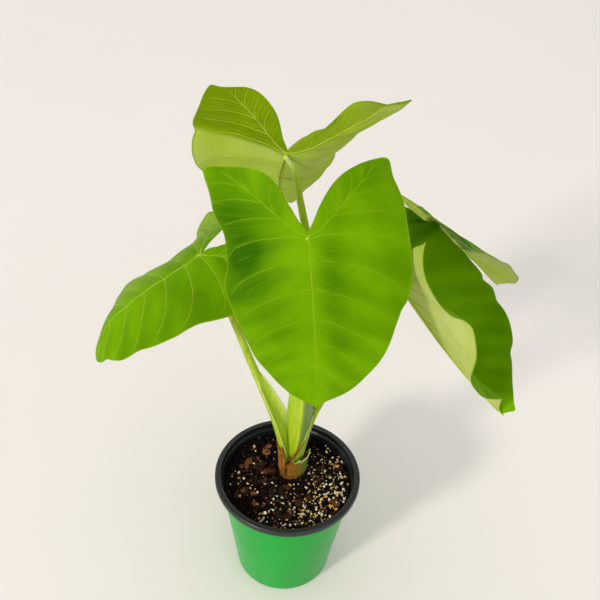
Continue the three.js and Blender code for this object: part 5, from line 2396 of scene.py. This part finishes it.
    def specks(self, draw: np.random.Generator) -> Spots:
        """Specks of compost that stick to the pot's wall and rim.

        Args:
            draw: The random numbers.

        Returns:
            The specks' places, sizes, turns and tints.
        """
        rows = []
        for _ in range(self.wall_specks):
            angle, z = draw.uniform(0, 2 * np.pi), draw.uniform(*self.speck_heights)
            rows.append((self.pot.outer(z) + 0.05, angle, z, draw.uniform(*self.wall_speck_sizes)))
        for _ in range(self.rim_specks):
            angle, size = draw.uniform(0, 2 * np.pi), draw.uniform(*self.rim_speck_sizes)
            reach = self.pot.rim_radius - draw.uniform(2, self.pot.rim_width - 1)
            rows.append((reach, angle, self.pot.height, size))
        reach, angle, z, size = np.array(rows).T
        on_rim = (z >= self.pot.height)[:, None]
        turns = np.where(on_rim, 0.0, np.stack([0 * angle, 0 * angle + 1.57, angle], -1))
        on_wall, lying = self.speck_flat
        flat = np.where(on_rim, [[1.0, 1.0, lying]], [[1.0, 1.0, on_wall]])
        tints = draw.uniform(0, self.speck_tint, len(rows))
        return Spots(places_round(reach, angle, z), size[:, None] * flat, turns, tints)


# The stage

@dataclass
class Studio:
    """The pale floor, the soft light and the camera at the photograph's angle."""

    lens: float = 60.0
    sensor: float = 36.0
    pitch: float = 41.2
    roll: float = 3.75
    eye: Triple = (1.0, -668.0, 964.0)
    floor_size: float = 16.0
    aim: Triple = (0.0, 0.02, 0.28)
    sun_travel: Triple = (1.30, 1.38, -1.0)
    fill_travel: Triple = (-0.5, 1.0, -0.55)

    def camera(self) -> None:
        """Sets the camera up, turned about its own axis as in the photograph."""
        data = bpy.data.cameras.new("camera")
        data.lens, data.sensor_width = self.lens, self.sensor
        data.clip_start, data.clip_end = 0.01, 60.0
        tilt, roll = math.radians(self.pitch), math.radians(self.roll)
        ahead = Vector((0, math.cos(tilt), -math.sin(tilt)))
        up = Vector((0, math.sin(tilt), math.cos(tilt)))
        right = Vector((1, 0, 0))
        across = right * math.cos(roll) + up * math.sin(roll)
        top = up * math.cos(roll) - right * math.sin(roll)
        camera = bpy.data.objects.new("camera", data)
        bpy.context.scene.collection.objects.link(camera)
        turn = Matrix((across, top, -ahead)).transposed().to_4x4()
        camera.matrix_world = Matrix.Translation(Vector(self.eye) * MM) @ turn
        bpy.context.scene.camera = camera

    def lamp(self, name: str, travel: Sequence[float], distance: float, size: float, watts: float,
             colour: Colour) -> None:
        """A soft square light.

        Args:
            name: Its name.
            travel: The direction that its light travels in.
            distance: How far it is from the plant, in metres.
            size: Its side, in metres.
            watts: Its power.
            colour: Its colour.
        """
        data = bpy.data.lights.new(name, "AREA")
        data.size, data.energy, data.color = size, watts, colour
        lamp = bpy.data.objects.new(name, data)
        bpy.context.scene.collection.objects.link(lamp)
        way = Vector(travel).normalized()
        lamp.location = Vector(self.aim) - way * distance
        lamp.rotation_euler = way.to_track_quat("-Z", "Y").to_euler()

    def floor(self) -> None:
        """Lays the floor."""
        half = self.floor_size / 2 / MM
        corners = np.array([(-half, -half, 0), (half, -half, 0), (half, half, 0), (-half, half, 0)])
        floor = mesh_of("floor", corners, [(0, 1, 2, 3)])
        place("floor", floor, FloorFinish("floor").material())

    def world(self, colour: Colour, strength: float) -> None:
        """Fills the room with even light."""
        world = bpy.data.worlds.new("studio")
        bpy.context.scene.world = world
        world.use_nodes = True
        sky = world.node_tree.nodes["Background"].inputs
        sky["Color"].default_value = (*colour, 1.0)
        sky["Strength"].default_value = strength

    def build(self) -> None:
        """Sets the stage."""
        self.floor()
        self.world(colour=(1.0, 0.985, 0.97), strength=0.80)
        self.lamp("key", self.sun_travel, distance=9.0, size=1.1, watts=420.0, colour=(1.0, 0.93, 0.82))
        self.lamp("fill", self.fill_travel, distance=3.6, size=2.4, watts=14.0, colour=(0.97, 0.98, 1.0))
        self.camera()
        bpy.context.scene.view_settings.view_transform = "Standard"


BARK = ((0.0, (0.014, 0.007, 0.004)), (0.4, (0.045, 0.018, 0.008)), (0.75, (0.12, 0.043, 0.015)),
        (1.0, (0.22, 0.09, 0.035)))
CRUMB = ((0.0, (0.0013, 0.0008, 0.0006)), (0.6, (0.0045, 0.0023, 0.0014)),
         (0.9, (0.022, 0.009, 0.0045)), (1.0, (0.09, 0.04, 0.018)))
GRAIN = ((0.0, (0.84, 0.82, 0.72)), (0.34, (0.82, 0.74, 0.50)), (0.55, (0.74, 0.56, 0.20)),
         (0.8, (0.62, 0.34, 0.06)), (1.0, (0.50, 0.17, 0.025)))
STEM = StemFinish("stem_skin")
HUSK = HuskFinish("dry_husk")
CORM_SKIN = HuskFinish(
    "corm_skin", (0.44, 0.22, 0.03), (0.32, 0.13, 0.012), (0.06, 0.025, 0.006), grain_up=0.3)
ROOTLET = HuskFinish(
    "rootlet", (0.2, 0.11, 0.05), (0.1, 0.045, 0.018), (0.03, 0.012, 0.006), grain_up=1.0)
BLACK_PLASTIC = PotFinish(
    "black_plastic", (0.008, 0.011, 0.013), (0.006, 0.008, 0.010), (0.035, 0.04, 0.042), dust=0.35,
    rough=(0.26, 0.42), gloss=0.5)
DRESS = {
    "finish": LeafFinish("leaf_skin"), "veins": VeinFinish("leaf_vein"),
    "ribs": VeinFinish("leaf_rib", (0.50, 0.64, 0.07), (0.60, 0.72, 0.16)),
}
SOFT_VEIN = VeinFinish("leaf_vein_soft", (0.22, 0.45, 0.001), (0.27, 0.485, 0.005))
LOOKS: dict[str, dict[str, object]] = {
    # The front leaf's Shade patches are painted shade.
    "front": {"veins": SOFT_VEIN, "proud": (0.18, 0.2), "shade": (
        Shade(0.38, 0.10, 0.17, 0.2, 1.0), Shade(0.42, -0.34, 0.12, 0.12, 0.45),
        Shade(0.46, 0.34, 0.12, 0.14, 0.35), Shade(0.45, -0.12, 0.12, 0.12, 0.4),
        Shade(-0.1, 0.2, 0.07, 0.28, 0.5), Shade(-0.12, 0.62, 0.09, 0.16, 0.3),
        Shade(0.16, 0.5, 0.12, 0.12, 0.25))},
    # The top leaf's lobes are painted with light shining through them, and its ribs in a lighter, lit
    # colour.
    "top": {
        "finish": LeafFinish(
            "leaf_skin_top", under=(0.60, 0.74, 0.15), under_bright=(0.50, 0.66, 0.045),
            under_lit=(0.24, 0.38, 0.001)),
        "ribs": VeinFinish("leaf_rib_lit", (0.44, 0.60, 0.02), (0.52, 0.67, 0.07)),
        "lit": {Side.LEFT: 1.0, Side.RIGHT: 0.7}, "lit_lobe": Side.LEFT},
    # The left leaf's upper half gets a painted pale sheen.
    "left": {"proud": (0.26, 0.25), "pale": Side.RIGHT, "veins": VeinFinish(
        "leaf_vein_clear", (0.36, 0.58, 0.02), (0.46, 0.66, 0.07))},
    "right": {"veins": SOFT_VEIN, "proud": (0.1, 0.0)},
    # The back leaf's underside gets a strip of painted shade.
    "back": {"dim": Side.RIGHT},
}


def main() -> None:
    """Builds the plant, its pot and the stage, in that order."""
    logging.basicConfig(level=logging.INFO, format="%(message)s")
    Studio().build()
    strands, scatter = Strands(), Scatter()
    pot = Pot(PotFinish("green_plastic"), BLACK_PLASTIC)
    pot.build()
    PottingMix(
        pot, EarthFinish("compost"), LumpFinish("crumb", CRUMB), LumpFinish("bark", BARK, rough=0.75),
        LumpFinish("pale_grain", GRAIN, rough=0.7, mottle=0.15, relief=0.3), ROOTLET,
    ).build(scatter, strands)
    Corm(CORM_SKIN, HUSK).build(strands)
    LeafRemains(
        "dry_husk", "dry_leaf_base", "dry_sheath", HUSK, span=(152, 240), height=(138, 181),
        lean=3.0, notch=9.0, old_columns=10, wrinkle=0.7).build()
    LeafRemains(
        "cut_sheath", "cut_leaf_base", "petiole", STEM, span=(-108, 26), height=(138, 165),
        lean=2.6, notch=4.0, old_columns=12, thickness=1.0, wrinkle=0.35, dry_to=0.92).build()
    column = Column(STEM)
    column.build()
    Wrap(column, STEM, HUSK).build()
    for name, form in LEAVES.items():
        blade = LeafBlade(name, form, **{**DRESS, **LOOKS[name]})
        blade.build(strands)
        kind = SheathedPetiole if name == "left" else Petiole
        kind(name, PETIOLES[name], blade.surface, STEM).build(strands)
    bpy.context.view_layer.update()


if __name__ == "__main__":
    main()
